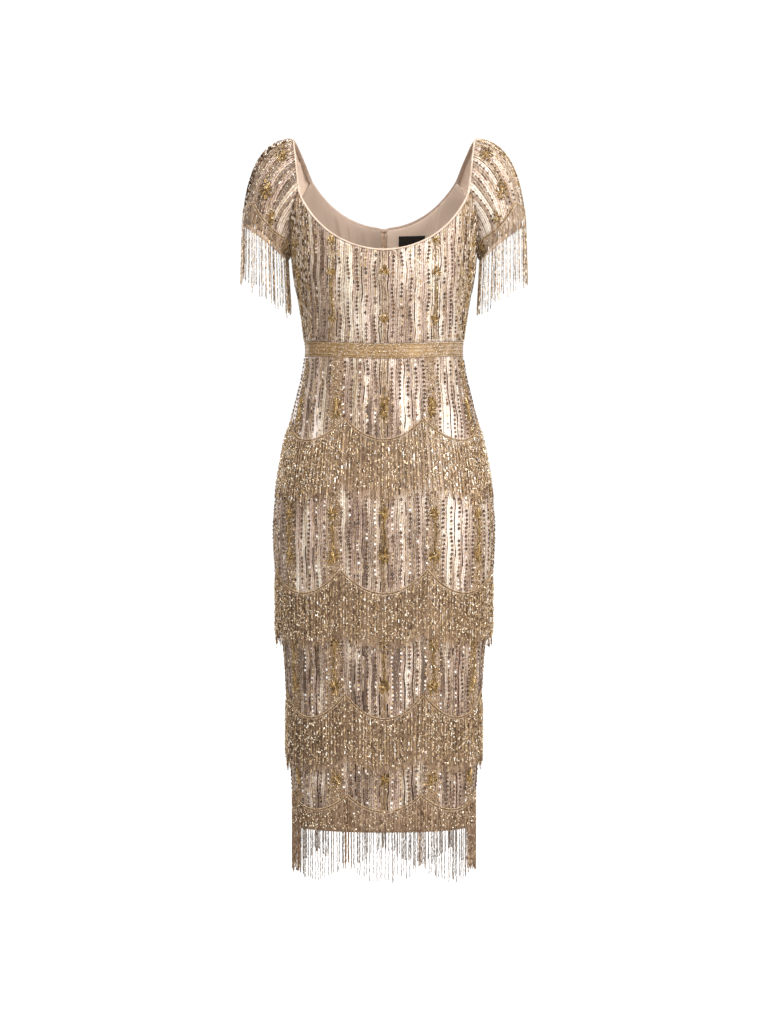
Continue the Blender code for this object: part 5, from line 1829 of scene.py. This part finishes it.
def creased(column, down, side):
    """How far the creases stand inwards, this far down from the neck."""
    away = [(column - row.column - row.lean * down / (10 * MM)) / row.wide for row in CREASES[side]]
    return sum(row.depth * MM * np.exp(-(a**2)) for row, a in zip(CREASES[side], away))


for panel in PANELS[1:3]:
    lines = np.linspace(LINING_FROM_ZIP / PITCH, panel.last, 110)
    low, high = panel.bottom(lines), panel.top(lines)
    up = np.linspace(0, 1, 28)[:, None] ** 0.8
    past_neck = smooth_step((lines - lines[np.argmax(high)]) / 0.4)
    heights = low + 1 * MM + up * (high - low - 1.6 * MM + LINING_OVERLAP * past_neck)
    depth = LINING_DEPTH - 1.9 * MM * smooth_step((up - 0.94) / 0.06)
    depth = depth + smooth_step((1 - up) / 0.25) * folds(lines, heights, panel.side)
    depth = depth + smooth_step((1 - up) / 0.05) * creased(lines, heights[-1] - heights, panel.side)
    grid = on_dress(column_around(lines, heights, False, False, panel.side), heights, -depth)
    name = panel.name.replace("bodice_back", "lining_back")
    looks = {"flip": panel.side > 0, "thickness": LINING_THICKNESS}
    cloth_sheet(name + "_cloth", grid, LININGS_PAINTED_LIT_AND_SHADED[panel.side], "lining", name, **looks)

# %% [markdown]
# ## Neck binding
#
# A bias strip folds over the raw neck edge from the zip, round over both shoulders, to the zip again. Its
# section is an open fold: a leg outside, a round top and a leg inside. Bias cloth puckers slightly between
# stitches, which a small even wave along the strip shows.

# %% Finish of the binding
bias = Finish("bias_satin", Roughness=0.42, Sheen_Weight=0.2, Sheen_Roughness=0.4)
place = bias.place()
cloth = bias.ramp(bias.noise(place, 40.0, 2.0), [(0.3, srgb(188, 164, 142)), (0.7, srgb(206, 184, 163))])
# Where the number is high, the binding is drawn darker: painted shade on its inner leg inside the back neck
bias.paint(bias.mix(bias.attribute("bare"), cloth, srgb(172, 148, 130)))
bias.bump(bias.weave(place, 700.0, 0.4, "DIAGONAL"), 0.2, 0.08 * MM)

# %% Fold the binding over the neck edge
# Places across the strip in mm, from its outer leg to its inner one: how far out of the dress, and how far up
BINDING_PROFILE = np.array(
    (
        *((0.8, -1.0), (0.95, -0.4), (0.95, 0.3), (0.65, 0.9), (-0.1, 1.3), (-1.0, 1.35), (-1.8, 1.0)),
        *((-2.15, 0.3), (-2.15, -1.2), (-1.95, -2.8), (-1.6, -4.4)),
    )
)
PUCKER = 0.12 * MM
PUCKER_LENGTH = 5 * MM
BINDING_STEP = 3 * MM
ZIP_NOTCH_WIDTH = 5 * MM
ZIP_NOTCH_DEPTH = 6 * MM


def neck_line(scoop, armhole, in_front, notch=0.0):
    """Points and outward directions of half a neck edge, from the centre line to the wearer's left."""
    sides = np.linspace(0.4 * MM, armhole[-1].side * MM, 40)
    heights = neck_height(sides, scoop) - notch * np.maximum(0.0, 1 - sides / ZIP_NOTCH_WIDTH)
    around = np.array([around_at(side, height, in_front) for side, height in zip(sides, heights)])
    return np.array([on_dress(around, heights), out_of(around, heights)])


def smoothed(values, times):
    """Rows of values, each averaged with its neighbours this many times."""
    for _ in range(times):
        values = np.concatenate([values[:1], (values[:-2] + 2 * values[1:-1] + values[2:]) / 4, values[-1:]])
    return values


shoulder_turn = RIM_TURNS[len(front_edge) : len(front_edge) + len(SHOULDER_EDGE)]
front_line = neck_line(FRONT_NECK, FRONT_ARMHOLE, True)
shoulder_line = np.array(on_sleeve(1, np.linspace(shoulder_turn[0], shoulder_turn[-1], 24), 1.0))
back_line = neck_line(BACK_NECK, BACK_ARMHOLE, False, ZIP_NOTCH_DEPTH)
half = np.concatenate([front_line, shoulder_line, back_line[:, ::-1]], axis=1)
neck_points, neck_out = np.concatenate([half[:, ::-1] * np.array((-1, 1, 1)), half], axis=1)
neck_run = run_of(neck_points)
at = np.linspace(0, neck_run[-1], int(neck_run[-1] / BINDING_STEP))
line = smoothed(along_line(neck_points, neck_run, at), 4)
facing = unit(smoothed(along_line(neck_out, neck_run, at), 4))
along = unit(np.gradient(line, axis=0))
facing = unit(facing - along * (facing * along).sum(1, keepdims=True))
upwards = np.cross(along, facing)
upwards = upwards * np.sign(upwards[:, 2:].sum())
pucker = PUCKER * np.sin(2 * math.pi * at / PUCKER_LENGTH)[:, None]
grid = [line + facing * (n * MM + np.sign(n) * pucker) + upwards * u * MM for n, u in BINDING_PROFILE]
# The inner leg is a little darker behind, in the shade of the neck
inner = smooth_step((-0.1 - BINDING_PROFILE[:, :1]) / 1.2) * smooth_step(line[:, 1] / (20 * MM))
looks = {"flip": True, "thickness": 0.3 * MM, "numbers": {"bare": inner}}
cloth_sheet("neck_binding_strip", np.array(grid), bias.material, "neck_binding", "neck_binding", **looks)

# %% [markdown]
# ## Label
#
# A black woven label, left blank, is sewn at its four corners inside the back. Weaving gives it fine ribs and
# folded ends, which a shallow bump and a slightly raised edge show.

# %% Make the blank label
LABEL_WIDTH = 43 * MM
LABEL_HEIGHT = 20 * MM
LABEL_FROM_ZIP = 24 * MM
LABEL_TOP = -138 * MM
LABEL_DEPTH = 5.9 * MM
LABEL_WAVE = 0.35 * MM
LABEL_FOLD = 0.25 * MM
label = Finish("woven_label", Roughness=0.75, Specular_IOR_Level=0.2)
place = label.place()
ribs = label.weave(place, 1100.0, 0.3, "Z")
tone = label.times(ribs, 0.5, label.times(label.noise(place, 220.0, 2.0), 0.5))
label.paint(label.ramp(tone, [(0.2, srgb(16, 12, 11)), (0.9, srgb(36, 28, 25))]))
label.bump(ribs, 0.4, 0.12 * MM)
down, across = np.linspace(1, 0, 9)[:, None], np.linspace(1, 0, 17)
heights = LABEL_TOP - LABEL_HEIGHT * down
widths = LABEL_FROM_ZIP + LABEL_WIDTH * across
around = np.array([[around_at(width, height, False) for width in widths] for height in heights[:, 0]])
fold = LABEL_FOLD * (np.isin(down, (0, 1)) | np.isin(across, (0, 1)))
depth = LABEL_DEPTH + LABEL_WAVE * np.sin(np.arange(len(across)) * 0.8)
grid = on_dress(around, heights, -depth - fold)
cloth_sheet("blank_label", grid, label.material, "label", "neck_label", thickness=0.5 * MM)

# %% [markdown]
# ## Zip
#
# The zip is concealed: from outside only its seam and its slider show, and inside there are two woven tapes
# with a row of small coils along each inner edge. The slider and its tab are hard metal, so their packed
# solids stay and get a brushed champagne finish.

# %% Make the tapes and the coils
ZIP_TOP = -129 * MM
ZIP_FOOT = -600 * MM
TAPE_WIDTH = 12 * MM
TAPE_MIDDLE_GAP = 0.4 * MM
TAPE_LIFT = -2.1 * MM
TAPE_THICKNESS = 0.5 * MM
COIL_STEP = 1.7 * MM
COIL_LIFT = -3.2 * MM
COIL_FROM_MIDDLE = 0.9 * MM
COILS_END_BELOW = 14 * MM
tape = Finish("zip_tape_weave", Roughness=0.68, Sheen_Weight=0.1)
ribs = tape.weave(tape.place(), 800.0, 0.4, "X")
tape.paint(tape.ramp(ribs, [(0.1, srgb(170, 140, 116)), (0.9, srgb(196, 166, 142))]))
tape.bump(ribs, 0.3, 0.12 * MM)

heights = np.linspace(ZIP_FOOT, ZIP_TOP, 48)
widths = np.linspace(TAPE_MIDDLE_GAP, TAPE_MIDDLE_GAP + TAPE_WIDTH, 5)
for name, side in SIDES.items():
    around = np.array([[side * around_at(width, height, False) for width in widths] for height in heights])
    grid, piece = on_dress(around, heights[:, None], TAPE_LIFT), f"zip_tape_{name}"
    looks = {"flip": side < 0, "thickness": TAPE_THICKNESS}
    cloth_sheet(piece + "_weave", grid, tape.material, "zip_tape", piece, **looks)
    # The coils of the two sides alternate
    coil_heights = np.arange(ZIP_FOOT, ZIP_TOP - COILS_END_BELOW, COIL_STEP) + (side > 0) * COIL_STEP / 2
    around = np.array([side * around_at(COIL_FROM_MIDDLE, height, False) for height in coil_heights])
    where = on_dress(around, coil_heights, COIL_LIFT), (1.0, 0, 0.25 * side), out_of(around, coil_heights)
    coils = sprinkle(SLIM_BUGLE, *where, (0.9 * MM, 2.2 * MM, 0.9 * MM), 0.72, 0.6)
    bead_piece(f"zip_coils_{name}", piece + "_weave", [coils], SEWN_BEADS, "zip_tape")

# %% Give the slider and its tab their metal
metal = Finish("champagne_metal", Metallic=1.0)
place = metal.place()
brushed = metal.add("Mapping", {"Vector": place, "Scale": (400.0, 400.0, 3000.0)}).outputs[0]
scratches, wear = metal.noise(brushed, 1.0, 3.0), metal.noise(place, 300.0, 2.0)
metal.paint(metal.ramp(wear, [(0.3, srgb(178, 150, 116)), (0.7, srgb(212, 188, 152))]))
metal.put(metal.times(scratches, 0.25, 0.2), metal.shader.inputs["Roughness"])
metal.bump(scratches, 0.12, 0.05 * MM)
for name in ("zip_slider", "zip_pull_tab"):
    thing = bpy.data.objects[name]
    if not thing.material_slots:
        thing.data.materials.append(metal.material)
    for slot in thing.material_slots:
        slot.material = metal.material
    print(name, "is metal")

# %% [markdown]
# ## Cutting list
#
# Every sheet of cloth holds the size it was cut to, its area and the beads that are sewn to it. The area is
# kept too, because a curved panel covers less than its full width times its full length. Here each sheet's flat
# size and how it is held are looked up, and nothing more is done with them.

HELD = {"waistband": "stretched", "blank": "laid", "neck": "folded"}
for name, sheet in sheets.items():
    flat, held = (sheet.width, sheet.length), HELD.get(name.split("_")[0], "hung")
print("triangles:", sum(triangles))
